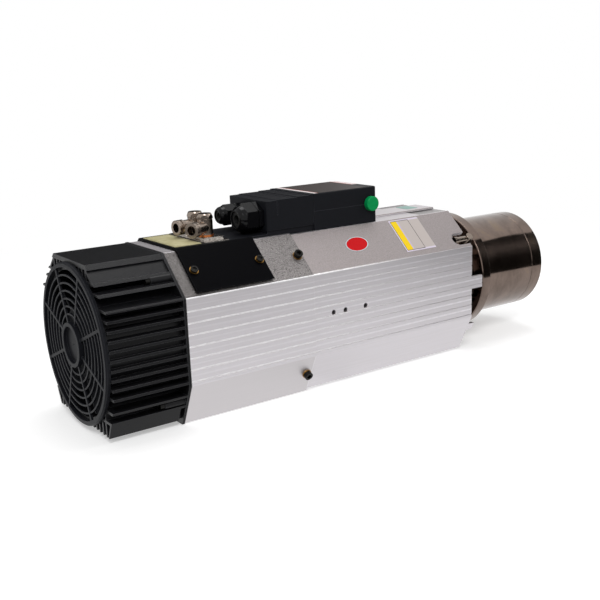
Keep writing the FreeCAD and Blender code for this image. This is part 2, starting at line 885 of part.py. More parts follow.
def front_sleeve():
    foot = front_sleeve_foot + front_sleeve_inset
    bar = body_bar(front_sleeve_inset, seam_x, sleeve_front_x + tab_length, foot)
    shell = round_long_edges(bar, sleeve_edge_radius)
    shell = shell.cut(front_cavity(seam_x - 1, sleeve_front_x + tab_length + 1))
    cuts = [front_edge_trim(), chamfer_slot(-1), chamfer_slot(1)]
    cuts += side_grooves(front_sleeve_inset, seam_x - 1, sleeve_front_x + tab_length + 1)
    cuts += mounting_holes()
    cuts += accessory_holes()
    under_deck = front_top - sleeve_wall - 1
    half = notch_half_width
    cuts.append(box(notch_start_x, sleeve_front_x + 1, -half, half, under_deck, body_top + 1))
    cuts.append(pin(V(box_x + box_length / 2, 0, under_deck), Z_AXIS, wire_hole_radius, sleeve_wall + 3))
    return shell.cut(cuts)


def top_strip():
    """Raised cover strip on the deck, from the terminal box to the front end of the motor housing's pad."""
    start = box_end_x + strip_gap
    top = front_top + strip_thickness
    section = [
        (-strip_half_width, front_top),
        (strip_half_width, front_top),
        (strip_half_width, front_top + strip_edge),
        (strip_half_width - strip_chamfer, top),
        (-strip_half_width + strip_chamfer, top),
        (-strip_half_width, front_top + strip_edge),
    ]
    return prism(section, start, start + strip_length)


# ---- Cover plate and rating plate --------------------------------------------------------------------------
def cover_plate():
    bent = body_bar(-cover_thickness, cover_rear_x, cover_front_x)
    bent = bent.cut(body_bar(0, cover_rear_x - 1, cover_front_x + 1))
    reach = body_half_width + 10
    bent = bent.common(box(cover_rear_x, cover_front_x, -reach, reach, cover_skirt_z, body_top + 10))
    half = top_half_width - cover_window_inset
    window = box(cover_window_x, cover_front_x + 1, -half, half, body_top - 1, body_top + 10)
    return bent.cut([window] + holes_at(cover_screw_places(), small_screw_radius, screw_grip))


def rating_plate():
    x0 = cover_rear_x + rating_plate_inset
    z0 = body_top + cover_thickness
    half = rating_plate_width / 2.0
    return box(x0, x0 + rating_plate_length, -half, half, z0, z0 + rating_plate_thickness)


# ---- Fan cowl ----------------------------------------------------------------------------------------------
def side_rib_levels():
    return [side_top - i * rib_pitch for i in range(side_rib_count)]


def slab(x0, x1, z):
    """Level plate across the whole cowl; the duct and the envelope trim it to ribs."""
    half = rib_thickness / 2.0
    reach = body_half_width + 5
    return box(x0, x1, -reach, reach, z - half, z + half)


def panel(x0, x1, z0, z1, recess, thickness):
    """Skin that follows the body section between two levels."""
    skin = body_bar(recess, x0, x1).cut(body_bar(recess + thickness, x0 - 1, x1 + 1))
    reach = body_half_width + 5
    return skin.common(box(x0, x1, -reach, reach, z0, z1))


def deck_ribs(x0, x1):
    """Upright ribs between the duct and the cowl's top panel and foot."""
    ribs = []
    half = rib_thickness / 2.0
    top_ribs = int(top_half_width / deck_rib_pitch)
    for i in range(-top_ribs, top_ribs + 1):
        y = i * deck_rib_pitch
        ribs.append(box(x0, x1, y - half, y + half, 0, body_top - 1))
    foot_ribs = int(foot_half_width / deck_rib_pitch)
    for i in range(-foot_ribs, foot_ribs + 1):
        y = i * deck_rib_pitch
        ribs.append(box(x0, x1, y - half, y + half, -body_bottom, 0))
    return ribs


def fan_cowl():
    x0 = -cowl_length
    x1 = -cowl_flange
    shoulder_top = body_top - top_panel_thickness
    levels = side_rib_levels() + [shoulder_foot_z, channel_foot_z, slope_rib_z, slope_channel_z]
    ribs = [slab(x0, x1, z) for z in levels] + deck_ribs(x0, x1)
    ribs.append(box(x0, x1, -body_half_width, body_half_width, shoulder_top, body_top))
    ribbed = fused(ribs).common(body_bar(0, x0, x1, cowl_foot))
    ribbed = ribbed.cut(rod(x0 - 1, x1 + 1, duct_bore + duct_wall / 2))
    shoulder = panel(x0, x1, shoulder_foot_z, shoulder_top, shoulder_recess, shoulder_thickness)
    slope = panel(x0, x1 - cowl_notch, -cowl_foot, slope_channel_z, 0.0, shoulder_thickness)
    flange = body_bar(-cowl_flange_lip, x1, 0)
    bosses = []
    for y, z in cowl_screw_centres():
        bosses.append(rod(cowl_screw_seat_x, x1, cowl_screw_boss, y, z))
    duct = rod(x0, x1, duct_bore + duct_wall)
    whole = fused([duct, ribbed, shoulder, slope, flange] + bosses)
    cuts = [rod(x0 - 1, 1, duct_bore)]
    for y, z in cowl_screw_centres():
        cuts.append(rod(x0, 1, cowl_screw_radius, y, z))
        cuts.append(rod(x0 - 1, cowl_screw_seat_x, cowl_screw_head + screw_head_clearance, y, z))
    return whole.cut(cuts)


def cowl_screws():
    """Their heads stand at the bottom of the cowl's screw channels and their shanks run forward."""
    screws = []
    tapped = sleeve_port_length - sleeve_port_floor - cowl_screw_spare
    grip = cowl_screw_length + cowl_flange + tapped
    for y, z in cowl_screw_centres():
        seat = V(cowl_screw_seat_x, y, z)
        head_height = cowl_screw_head_height
        screw = cap_screw(seat, X_AXIS * -1, cowl_screw_radius, cowl_screw_head, head_height, grip, Z_AXIS)
        screws.append(screw)
    return group(screws)


# ---- Fan ---------------------------------------------------------------------------------------------------
def fan_guard():
    x1 = -cowl_length
    x0 = x1 - guard_thickness
    outer = duct_bore + duct_wall + guard_overlap
    inner = outer - guard_ring_width
    edge = guard_edge_chamfer
    rim = turned([(x0 + edge, outer), (x1, outer), (x1, inner), (x0, inner), (x0, outer - edge)])
    bar_x0 = x0 + guard_bar_recess
    bar_x1 = bar_x0 + guard_bar_depth
    pieces = [rim, rod(x0 - guard_hub_rise, bar_x1, guard_hub_radius)]
    spacing = (inner - guard_hub_radius) / (guard_rings + 1)
    half_bar = guard_ring_bar / 2.0
    for i in range(guard_rings):
        radius = guard_hub_radius + (i + 1) * spacing
        pieces.append(ring(bar_x0, bar_x1, radius + half_bar, radius - half_bar))
    half = guard_spoke_width / 2.0
    spoke = box(bar_x0 - guard_spoke_rise, bar_x1, -half, half, guard_hub_radius - 2, inner + 1)
    pieces += spun(spoke, guard_spokes, guard_spoke_start)
    dish = rod(x0 - guard_hub_rise - 1, bar_x1 - guard_hub_floor, guard_hub_radius - guard_hub_rim)
    centre_hole = rod(x0 - guard_hub_rise - 1, bar_x1 + 1, guard_hub_hole)
    return fused(pieces).cut([dish, centre_hole])


def fan_motor():
    """Stationary hub motor on four struts that stand in the duct."""
    flange_x0 = fan_end_x + fan_motor_end_gap
    x1 = flange_x0 + fan_motor_flange
    base = rod(flange_x0, x1, fan_hub_radius)
    stator = rod(fan_x + fan_cup_floor + fan_motor_end_gap, x1, fan_motor_radius)
    half = fan_strut_width / 2.0
    strut = box(flange_x0, x1, -half, half, fan_motor_radius - 2, duct_bore + 1)
    whole = fused([base, stator] + spun(strut, fan_struts, 180.0 / fan_struts))
    return whole.common(rod(fan_x, x1 + 1, duct_bore))


def fan_blade():
    """One pitched blade, rooted in the impeller's hub."""
    half_chord = fan_length / math.cos(math.radians(fan_blade_pitch)) / 2.0
    half = fan_blade_thickness / 2.0
    blade = box(-half_chord, half_chord, -half, half, fan_hub_radius - 1.5, fan_tip_radius + 3)
    blade.rotate(V(0, 0, 0), Z_AXIS, fan_blade_pitch)
    blade.translate(V(fan_x + fan_length / 2, 0, 0))
    return blade


def fan_impeller():
    cup = rod(fan_x, fan_end_x, fan_hub_radius)
    blades = fused([cup] + spun(fan_blade(), fan_blades))
    blades = blades.common(rod(fan_x, fan_end_x, fan_tip_radius))
    return blades.cut(rod(fan_x + fan_cup_floor, fan_end_x + 1, fan_motor_radius + fan_motor_side_gap))


# ---- Air block, elbows -------------------------------------------------------------------------------------
def elbow_y(side):
    return side * elbow_pitch / 2.0


def air_block():
    x1 = block_x + block_length
    stem_half = block_stem_half_width
    stem = box(block_x, x1, -stem_half, stem_half, cylinder_pad_z, body_top)
    step = box(block_x, x1, -block_half_width, block_half_width, body_top, body_top + block_step)
    boss = box(block_x + block_boss_setback, x1, -stem_half, stem_half, body_top, block_top)
    block = fused([stem, step, boss])
    neck_z = body_top - sleeve_wall - block_neck_depth
    reach = block_half_width + 1
    beside_foot = box(block_x - 1, x1 + 1, -reach, -block_foot_half_width, cylinder_pad_z - 1, neck_z)
    cuts = both_sides(beside_foot)
    for side in (-1, 1):
        foot = V(elbow_x, elbow_y(side), block_top - bolt_hole_depth)
        cuts.append(pin(foot, Z_AXIS, banjo_bolt_radius, bolt_hole_depth + 1))
    return block.cut(cuts)


def banjo_washers():
    rings = []
    for side in (-1, 1):
        seat = V(elbow_x, elbow_y(side), block_top)
        rings.append(washer(seat, Z_AXIS, banjo_radius + washer_rim, banjo_bolt_radius, washer_thickness))
    return group(rings)


def banjo_bolts():
    bolts = []
    crown = banjo_head_flats / 2.0 - banjo_head_crown
    for side in (-1, 1):
        foot = V(elbow_x, elbow_y(side), block_top - bolt_hole_depth)
        head_foot = V(elbow_x, elbow_y(side), elbow_seat_z + banjo_height + banjo_play)
        shank = pin(foot, Z_AXIS, banjo_bolt_radius, head_foot.z - foot.z)
        head = hexagon(head_foot, Z_AXIS, banjo_head_flats, banjo_head_height, Y_AXIS)
        dome = Part.makeCone(crown + banjo_head_bevel, crown, banjo_head_height, head_foot, Z_AXIS)
        bore = pin(foot - Z_AXIS, Z_AXIS, banjo_bolt_radius - banjo_bolt_wall, port_z - foot.z)
        bolts.append(fused([shank, head.common(dome)]).cut(bore))
    return group(bolts)


def port_direction(side):
    yaw = math.radians(near_port_yaw if side < 0 else far_port_yaw)
    return V(-math.cos(yaw), -math.sin(yaw), 0)


def elbow(side):
    """Swivelling ring around the banjo bolt with a push-in port: end ring, groove and collar at its mouth."""
    centre = V(elbow_x, elbow_y(side), elbow_seat_z)
    out = port_direction(side)
    start = V(elbow_x, elbow_y(side), port_z)
    ring_body = pin(centre, Z_AXIS, banjo_radius, banjo_height)
    barrel = pin(start, out, port_barrel_radius, port_reach)
    end_ring = pin(start + out * (port_reach - port_end_ring), out, port_radius, port_end_ring)
    collar_start = port_reach - port_end_ring - port_groove - port_collar
    collar = pin(start + out * collar_start, out, port_radius, port_collar)
    whole = fused([ring_body, barrel, collar, end_ring])
    bolt_bore = pin(centre - Z_AXIS, Z_AXIS, banjo_bolt_radius + banjo_bore_clearance, banjo_height + 2)
    tube_start = start + out * (port_reach - tube_depth)
    tube_bore = pin(tube_start, out, tube_radius + tube_clearance, tube_depth + 1)
    air_way = pin(start, out, air_way_radius, port_reach)
    seat_depth = collet_length + collet_travel + collet_end_gap
    seat_start = start + out * (port_reach - seat_depth)
    collet_seat = pin(seat_start, out, collet_radius + collet_clearance, seat_depth + 1)
    lip_depth = collet_lip + collet_travel + collet_end_gap
    lip_radius = collet_radius + collet_lip_rim + collet_clearance
    lip_seat = pin(start + out * (port_reach - lip_depth), out, lip_radius, lip_depth + 1)
    return whole.cut([bolt_bore, tube_bore, air_way, collet_seat, lip_seat])


def release_collet(side):
    """Ring in the port's mouth, flush with it at rest: pushed in, it lets go of the tube."""
    out = port_direction(side)
    start = V(elbow_x, elbow_y(side), port_z) + out * (port_reach - collet_length)
    body = pin(start, out, collet_radius, collet_length)
    lip = pin(start + out * (collet_length - collet_lip), out, collet_radius + collet_lip_rim, collet_lip)
    tube_bore = pin(start - out, out, tube_radius + tube_clearance, collet_length + 2)
    return body.fuse(lip).cut(tube_bore)


# ---- Connector ---------------------------------------------------------------------------------------------
def is_upright(edge):
    run = edge.Vertexes[-1].Point - edge.Vertexes[0].Point
    return abs(run.z) > 0.99 * run.Length


def connector_base_plate():
    half = connector_half_width - base_plate_inset
    thin_top = body_top + base_plate_thin
    thin = box(base_plate_rear_x, base_plate_step_x, -half, half, body_top, thin_top)
    thick = box(base_plate_step_x, seam_x, -half, half, body_top, base_top)
    front = box(seam_x, box_x - base_plate_gap, -half, half, front_top, base_top)
    plate = fused([thin, thick, front])
    corners = []
    for edge in plate.Edges:
        if is_upright(edge) and abs(edge.Vertexes[0].X - base_plate_rear_x) < 0.01:
            corners.append(edge)
    return plate.makeFillet(base_plate_corner, corners)


def rounded_block(x0, x1, half, z0, z1, radius, rear=True, front=True):
    """Block whose upright corners are rounded at its rear, its front or both."""
    block = box(x0, x1, -half, half, z0, z1)
    corners = []
    for edge in block.Edges:
        at_rear = abs(edge.Vertexes[0].X - x0) < 0.01
        if is_upright(edge) and ((at_rear and rear) or (not at_rear and front)):
            corners.append(edge)
    return block.makeFillet(radius, corners)


def connector_hood():
    """Plug hood: a shell open to the front, its top stepped up in treads for grip."""
    x0 = hood_rear_x
    x1 = x0 + hood_length
    half = connector_half_width
    top = hood_rear_top
    body = rounded_block(x0, x1, half, hood_z, top, box_corner_radius, True, False)
    treads = [body]
    for start, rise in zip(hood_tread_x, hood_tread_rise):
        treads.append(box(x0 + start, x1, -half, half, top - 3, top + rise))
    hood = fused(treads)
    inner = half - hood_wall
    hollow = box(x0 + hood_wall, x1 + 1, -inner, inner, hood_z + hood_floor, top - hood_wall)
    cuts = [hollow]
    for side in (-1, 1):
        thread = gland_size(side)[1]
        cuts.append(rod(x0 - 1, x0 + hood_wall + 1, thread, gland_y(side), gland_z))
    joint_x = x0 + hood_tread_x[0]
    line_x0 = joint_x - hood_line_width / 2
    line_x1 = joint_x + hood_line_width / 2
    line = box(line_x0, line_x1, half - hood_line_depth, half + 1, (hood_z + top) / 2, top - 1)
    cuts += both_sides(line)
    groove_half = half - tread_groove_inset
    for start in hood_tread_x[1:]:
        groove_x0 = x0 + start - tread_groove_setback
        groove_x1 = groove_x0 + tread_groove_width
        cuts.append(box(groove_x0, groove_x1, -groove_half, groove_half, top - tread_groove_depth, top + 5))
    return hood.cut(cuts)


def plug_insert():
    """Contact carrier in the hood; its tongue enters the terminal box."""
    x1 = hood_rear_x + hood_length
    half = plug_height / 2.0
    width = plug_half_width
    tongue_end = x1 + hood_gap + plug_engagement
    tongue = box(x1 - plug_length, tongue_end, -width, width, plug_z - half, plug_z + half)
    inner = connector_half_width - hood_wall
    frame_x1 = x1 - plug_frame_setback
    frame_x0 = frame_x1 - plug_frame_thickness
    frame = box(frame_x0, frame_x1, -inner, inner, hood_z + hood_floor, hood_rear_top - hood_wall)
    return fused([tongue, frame])


def plug_sleeve(x0, x1, grow):
    """Bar of the plug's section, larger than it by grow on every side."""
    half = plug_height / 2.0 + grow
    width = plug_half_width + grow
    return box(x0, x1, -width, width, plug_z - half, plug_z + half)


def terminal_block():
    """Socket in the box's rear wall that receives the plug's tongue."""
    x0 = box_x + box_wall
    x1 = x0 + socket_length
    block = plug_sleeve(x0, x1, socket_wall)
    rim = plug_sleeve(box_x, x0, socket_rim)
    mouth = plug_sleeve(box_x - 1, box_x + plug_engagement + socket_end_gap, plug_clearance)
    foot_half = plug_half_width + socket_wall - socket_foot_inset
    foot_z1 = plug_z - plug_height / 2.0
    foot = box(x0 + socket_foot_setback, x1, -foot_half, foot_half, front_top + box_floor, foot_z1)
    return fused([block, rim, foot]).cut(mouth)


def port_plug_centre():
    return V(box_end_x - port_plug_inset, -connector_half_width, box_split_z + port_plug_rise)


def box_shell(z0, z1):
    return rounded_block(box_x, box_end_x, connector_half_width, z0, z1, box_corner_radius, False, True)


def box_cuts():
    """Openings that both halves of the terminal box share."""
    centre = port_plug_centre()
    window = plug_sleeve(box_x - 1, box_x + box_wall + 1, socket_rim)
    return [window, pin(centre - Y_AXIS, Y_AXIS, port_plug_hole, box_wall + 2)]


def box_screw_places():
    half = connector_half_width - box_post_inset
    return [(x, y) for x in (box_x + box_post_inset, box_end_x - box_post_inset) for y in (-half, half)]


def screw_posts(z0, z1):
    return [pin(V(x, y, z0), Z_AXIS, box_post_radius, z1 - z0) for x, y in box_screw_places()]


def terminal_box_base():
    inner = connector_half_width - box_wall
    floor = front_top + box_floor
    shell = box_shell(front_top, box_split_z)
    hollow = box(box_x + box_wall, box_end_x - box_wall, -inner, inner, floor, box_split_z + 1)
    shell = fused([shell.cut(hollow)] + screw_posts(front_top + 1, box_split_z))
    cuts = box_cuts()
    cuts.append(pin(V(box_x + box_length / 2, 0, front_top - 1), Z_AXIS, wire_hole_radius, box_floor + 3))
    depth = box_screw_grip + box_screw_tip
    for x, y in box_screw_places():
        cuts.append(pin(V(x, y, box_split_z - depth), Z_AXIS, box_screw_radius, depth + 1))
    return shell.cut(cuts)


def terminal_box_lid():
    half = connector_half_width
    inner = half - box_wall
    shell = box_shell(box_split_z, box_top)
    top_edges = []
    for edge in shell.Edges:
        bounds = edge.BoundBox
        if abs(bounds.ZMin - box_top) < 0.01 and bounds.XMax > box_x + 1:
            top_edges.append(edge)
    shell = shell.makeFillet(lid_edge_radius, top_edges)
    hollow = box(box_x + box_wall, box_end_x - box_wall, -inner, inner, box_split_z - 1, box_top - box_wall)
    shell = fused([shell.cut(hollow)] + screw_posts(box_split_z, box_top - 1))
    cuts = box_cuts()
    seat_z = box_top - box_screw_sink
    for x, y in box_screw_places():
        cuts.append(pin(V(x, y, box_split_z - 1), Z_AXIS, box_screw_radius, box_top - box_split_z + 2))
        cuts.append(pin(V(x, y, seat_z), Z_AXIS, box_screw_head + screw_head_clearance, box_screw_sink + 1))
    line_x0 = box_end_x - lid_line_inset - lid_line_width / 2
    line_x1 = line_x0 + lid_line_width
    cuts.append(box(line_x0, line_x1, -half - 1, half + 1, box_top - lid_line_depth, box_top + 1))
    return shell.cut(cuts)


def box_screws():
    screws = []
    seat_z = box_top - box_screw_sink
    grip = seat_z - box_split_z + box_screw_grip
    for x, y in box_screw_places():
        seat = V(x, y, seat_z)
        screw = cap_screw(seat, Z_AXIS, box_screw_radius, box_screw_head, box_screw_head_height, grip)
        screws.append(screw)
    return group(screws)


def port_plug():
    """Push-in plug that closes the spare cable entry in the box's side."""
    tail = -box_wall - port_plug_tongue
    seat = port_plug_seat_gap
    end = seat + port_plug_head
    profile = [
        (tail, 0),
        (tail, port_plug_shank),
        (seat, port_plug_shank),
        (seat, port_plug_radius),
        (end - port_plug_bevel, port_plug_radius),
        (end, port_plug_radius - port_plug_bevel),
        (end, 0),
    ]
    plug = turned(profile)
    plug.rotate(V(0, 0, 0), Z_AXIS, -90)
    plug.translate(port_plug_centre())
    return plug


# ---- Cable glands ------------------------------------------------------------------------------------------
def gland_y(side):
    return side * gland_pitch / 2.0


def gland_size(side):
    """Flats, thread radius, mouth radius and cable radius of the gland on one side."""
    if side < 0:
        return power_gland_flats, power_gland_thread, power_gland_mouth, power_cable_radius
    return signal_gland_flats, signal_gland_thread, signal_gland_mouth, signal_cable_radius


def gland_bodies():
    bodies = []
    wall_end = hood_rear_x + hood_wall
    for side in (-1, 1):
        flats, thread_radius, mouth, _ = gland_size(side)
        y = gland_y(side)
        flange = hexagon(V(hood_rear_x - gland_flange, y, gland_z), X_AXIS, flats, gland_flange)
        neck = rod(gland_nut_x + gland_thread_start, hood_rear_x, thread_radius - gland_neck_step, y, gland_z)
        thread = rod(hood_rear_x - 1, wall_end, thread_radius, y, gland_z)
        tail = rod(wall_end - 1, wall_end + gland_tail_length, thread_radius - gland_neck_step, y, gland_z)
        bore = rod(gland_nut_x, wall_end + gland_tail_length + 1, mouth - gland_body_lip, y, gland_z)
        bodies.append(fused([flange, neck, thread, tail]).cut(bore))
    return group(bodies)


def gland_nut(side):
    """Dome nut: hexagonal skirt, rounded front with a wide mouth."""
    flats, thread_radius, mouth, _ = gland_size(side)
    y = gland_y(side)
    x0 = gland_nut_x
    x1 = x0 + gland_nut_length
    corner = flats / math.sqrt(3.0)
    rise = flats / 2.0 - mouth
    dome = [(x0 + share * gland_dome_length, mouth + height * rise) for share, height in gland_dome_shape]
    bore = thread_radius - gland_neck_step + gland_thread_play
    profile = dome + [
        (x0 + gland_dome_length + 1, corner),
        (x1 - gland_nut_chamfer, corner),
        (x1, corner - gland_nut_chamfer),
        (x1, bore),
        (x0 + gland_thread_start, bore),
        (x0 + gland_dome_length / 2, mouth),
        (x0, mouth),
    ]
    nut = turned(profile)
    nut.translate(V(0, y, gland_z))
    round_front = rod(x0, x0 + gland_dome_length, corner, y, gland_z)
    skirt = hexagon(V(x0 + gland_skirt_setback, y, gland_z), X_AXIS, flats, gland_nut_length)
    return nut.common(round_front.fuse(skirt))


def gland_nuts():
    return group([gland_nut(-1), gland_nut(1)])


def gland_seals():
    """Rubber sleeve that grips the cable, held between the nut's dome and the gland body."""
    seals = []
    x0 = gland_nut_x + gland_seal_setback
    for side in (-1, 1):
        mouth, cable = gland_size(side)[2:]
        seal = ring(x0, x0 + gland_seal_length, mouth - gland_thread_play, cable)
        seal.translate(V(0, gland_y(side), gland_z))
        seals.append(seal)
    return group(seals)


# ---- Motor -------------------------------------------------------------------------------------------------
def motor_housing():
    """Finned tube that holds the stator and the nose housing; a cast pad on it fills the deck notch."""
    tube = ring(seam_x, housing_end_x, housing_radius, housing_bore)
    half = housing_fin_thickness / 2.0
    fin = box(seam_x + housing_fin_setback, housing_end_x, -half, half, housing_radius - 1, fin_radius)
    step = 360.0 / housing_fins
    floor = mounting_bed - front_sleeve_foot
    fins = []
    for i, copy in enumerate(spun(fin, housing_fins, step / 2)):
        angle = math.radians((i + 0.5) * step)
        if fin_radius * math.cos(angle) > floor + housing_fin_room:
            fins.append(copy)
    pad_half = notch_half_width - deck_pad_gap
    pad_x0 = notch_start_x + deck_pad_gap
    pad = box(pad_x0, sleeve_front_x + deck_pad_overhang, -pad_half, pad_half, 0, front_top - deck_pad_drop)
    pad = pad.cut(rod(seam_x, flange_x, housing_radius - 1))
    whole = fused([tube, pad] + fins)
    y, z = purge_place(purge_hose_radius)
    relief_x0 = flange_x - purge_length - purge_barb_lip
    relief = rod(relief_x0, housing_end_x + 1, purge_barb + purge_room, y, z)
    return whole.cut(relief.cut(rod(seam_x, flange_x, housing_radius)))


def slot_section(depth_start, depth_end, tooth):
    """Section of one stator slot, its sides parallel to the neighbouring teeth."""
    half_angle = math.pi / stator_slots
    points = []
    for radius in (depth_start, depth_end):
        half = radius * math.sin(half_angle) - tooth / 2.0 * math.cos(half_angle)
        points.append((half, radius * math.cos(half_angle)))
    (a, ra), (b, rb) = points
    return [(-a, ra), (a, ra), (b, rb), (-b, rb)]


def stator_core():
    x0 = stator_start_x
    x1 = stator_end_x
    core = ring(x0, x1, housing_bore, stator_bore)
    slot = prism(slot_section(slot_start_radius, slot_end_radius, stator_tooth), x0 - 1, x1 + 1)
    half = slot_mouth / 2.0
    mouth = box(x0 - 1, x1 + 1, -half, half, stator_bore - 1, stator_bore + slot_mouth_depth)
    return core.cut(spun(slot.fuse(mouth), stator_slots))


def stator_windings():
    """Coil bundles in the slots, joined by the end turns at both ends."""
    inner = slot_start_radius + 3 * slot_liner
    outer = slot_end_radius - slot_liner
    section = slot_section(inner, outer, stator_tooth + 2 * slot_liner)
    bar = prism(section, stator_start_x - 2 * winding_gap, stator_end_x + 2 * winding_gap)
    turns_outer = outer + winding_flare
    rear = ring(stator_start_x - winding_overhang, stator_start_x - winding_gap, turns_outer, inner)
    front = ring(stator_end_x + winding_gap, stator_end_x + winding_overhang, turns_outer, inner)
    return fused([rear, front] + spun(bar, stator_slots))


def rotor_core():
    x0 = stator_start_x + rotor_inset
    x1 = stator_end_x - rotor_inset
    outer = stator_bore - air_gap
    ring_outer = outer - rotor_ring_step
    profile = [
        (x0 - rotor_ring_length, shaft_rotor_radius),
        (x0 - rotor_ring_length, ring_outer),
        (x0, ring_outer),
        (x0, outer),
        (x1, outer),
        (x1, ring_outer),
        (x1 + rotor_ring_length, ring_outer),
        (x1 + rotor_ring_length, shaft_rotor_radius),
    ]
    return turned(profile)


# ---- Bearings ----------------------------------------------------------------------------------------------
def bearing_parts(start_x, bore, outer, width):
    """Inner ring, cage and outer ring of one bearing."""
    wall = (outer - bore) * race_share
    end_x = start_x + width
    inner_ring = ring(start_x, end_x, bore + wall, bore)
    cage_outer = outer - wall - ring_gap
    cage = ring(start_x + cage_inset, end_x - cage_inset, cage_outer, bore + wall + ring_gap)
    outer_ring = ring(start_x, end_x, outer, outer - wall)
    return inner_ring, cage, outer_ring


def bearing_pair(start_x, bore, outer, width, piece):
    pair = []
    for i in range(2):
        pair.append(bearing_parts(start_x + i * width, bore, outer, width)[piece])
    return group(pair)


def rear_bearing_housing():
    """Bulkhead between the sleeves: it carries the rear bearings and lets the cooling air through."""
    x0 = bulkhead_start_x
    hub_end = rear_bearing_end_x + bulkhead_hub_lip
    plate = body_bar(sleeve_wall, x0, seam_x)
    hub = rod(x0, hub_end, rear_outer + bulkhead_hub_wall)
    spigot = rod(seam_x - 1, seam_x + bulkhead_spigot, housing_bore)
    whole = fused([plate, hub, spigot])
    cuts = [rod(x0 - 1, hub_end + 1, rear_outer - bulkhead_bore_step)]
    cuts.append(rod(rear_bearing_x, rear_bearing_end_x, rear_outer))
    window_inner = cylinder_radius + bulkhead_window_rim
    window = ring(x0 - 1, seam_x, window_inner + bulkhead_window_depth, window_inner)
    half = bulkhead_window_half_width
    window = window.common(box(x0 - 1, seam_x + 1, -half, half, 0, body_top))
    for angle in bulkhead_window_angles:
        cuts += spun(window, 1, angle)
    cuts += holes_at(sleeve_screw_places(), sleeve_screw_radius, screw_grip)
    cuts.append(ring(x0 - 1, x0 + cylinder_spigot, cylinder_radius, cylinder_bore))
    return whole.cut(cuts)


def nose_housing():
    """Flange and nose in one piece; it holds the front bearings and centres in the motor housing."""
    spigot_x = housing_end_x - nose_spigot_length
    joint_x = cap_x - cap_joint_groove / 2.0
    joint_foot = nose_radius - cap_joint_depth
    edge = flange_edge_chamfer
    profile = [
        (spigot_x, nose_rear_bore),
        (spigot_x, housing_bore),
        (housing_end_x, housing_bore),
        (housing_end_x, neck_radius),
        (flange_x, neck_radius),
        (flange_x, flange_radius - edge),
        (flange_x + edge, flange_radius),
        (nose_x - edge, flange_radius),
        (nose_x, flange_radius - edge),
        (nose_x, nose_radius),
        (joint_x - cap_joint_edge, nose_radius),
        (joint_x, nose_radius - cap_joint_edge),
        (joint_x, joint_foot),
        (cap_x, joint_foot),
        (cap_x, front_outer),
        (front_bearing_x, front_outer),
        (front_bearing_x, nose_rear_bore),
    ]
    housing = turned(profile)
    y, z = purge_place(purge_port_radius)
    port_end = flange_x + purge_thread_length + purge_port_tip
    cuts = [rod(flange_x - 1, port_end, purge_thread_radius, y, z)]
    hole_x0 = cap_x - nose_screw_grip - nose_screw_tip
    for place in nose_screw_places():
        cuts.append(rod(hole_x0, cap_x + 1, nose_screw_radius, place.y, place.z))
    return housing.cut(cuts)


def nose_screw_places():
    radius = (nose_radius + front_outer) / 2.0 - nose_screw_shift
    places = []
    for i in range(nose_screw_count):
        angle = math.radians(nose_screw_start + i * 360.0 / nose_screw_count)
        places.append(V(0, radius * math.cos(angle), radius * math.sin(angle)))
    return places


def nose_cap():
    joint_x = cap_x + cap_joint_groove / 2.0
    joint_foot = nose_radius - cap_joint_depth
    labyrinth_radius = cap_bore + labyrinth_step
    profile = [
        (bearing_end_x, labyrinth_radius),
        (bearing_end_x, front_outer),
        (cap_x, front_outer),
        (cap_x, joint_foot),
        (joint_x, joint_foot),
        (joint_x, nose_radius - cap_joint_edge),
        (joint_x + cap_joint_edge, nose_radius),
        (cap_end_x - nose_edge_chamfer, nose_radius),
        (cap_end_x, nose_radius - nose_edge_chamfer),
        (cap_end_x, cap_bore),
        (cap_x + labyrinth_depth, cap_bore),
        (cap_x + labyrinth_depth, labyrinth_radius),
    ]
    cap = turned(profile)
    cuts = []
    for place in nose_screw_places():
        cuts.append(rod(cap_x - 1, cap_end_x + 1, nose_screw_radius, place.y, place.z))
        counterbore = nose_screw_head + screw_head_clearance
        cuts.append(rod(nose_screw_seat_x, cap_end_x + 1, counterbore, place.y, place.z))
    hole_foot = V(cap_end_x - spanner_hole_inset, 0, nose_radius - spanner_hole_depth)
    spanner_hole = pin(hole_foot, Z_AXIS, spanner_hole_radius, spanner_hole_depth + 1)
    cuts += spun(spanner_hole, 1, spanner_hole_angle)
    return cap.cut(cuts)


def nose_cap_screws():
    """Their heads are sunk in the cap's front face."""
    screws = []
    grip = nose_screw_seat_x - cap_x + nose_screw_grip
    head = nose_screw_head
    for place in nose_screw_places():
        seat = V(nose_screw_seat_x, place.y, place.z)
        screws.append(cap_screw(seat, X_AXIS, nose_screw_radius, head, nose_screw_head_height, grip, Z_AXIS))
    return group(screws)


def purge_place(radius):
    """Point (y, z) at the air-purge port's angle, radius away from the spindle axis."""
    angle = math.radians(purge_angle)
    return -radius * math.cos(angle), radius * math.sin(angle)


def purge_fitting():
    """Nickel-plated offset fitting that feeds purge air through the flange to the front labyrinth."""
    y, z = purge_place(purge_port_radius)
    out = V(0, y, z)
    out.normalize()
    nut_x = flange_x - purge_nut_length
    end_x = flange_x + purge_thread_length
    thread = rod(nut_x - 2, end_x, purge_thread_radius, y, z)
    nut = hexagon(V(nut_x, y, z), X_AXIS, purge_nut_flats, purge_nut_length)
    offset = purge_hose_radius - purge_port_radius
    block_foot = V(nut_x - purge_block_setback, y, z) - out * purge_block_end
    block = pin(block_foot, out, purge_block_radius, offset + 2 * purge_block_end)
    barb_y, barb_z = purge_place(purge_hose_radius)
    hose_x = flange_x - purge_length
    barb = rod(hose_x, nut_x - 2, purge_barb - purge_barb_step, barb_y, barb_z)
    lip = rod(hose_x, hose_x + purge_barb_lip, purge_barb, barb_y, barb_z)
    air_way = rod(nut_x - 3, end_x + 1, purge_way_radius, y, z)
    return fused([thread, nut, block, barb, lip]).cut(air_way)


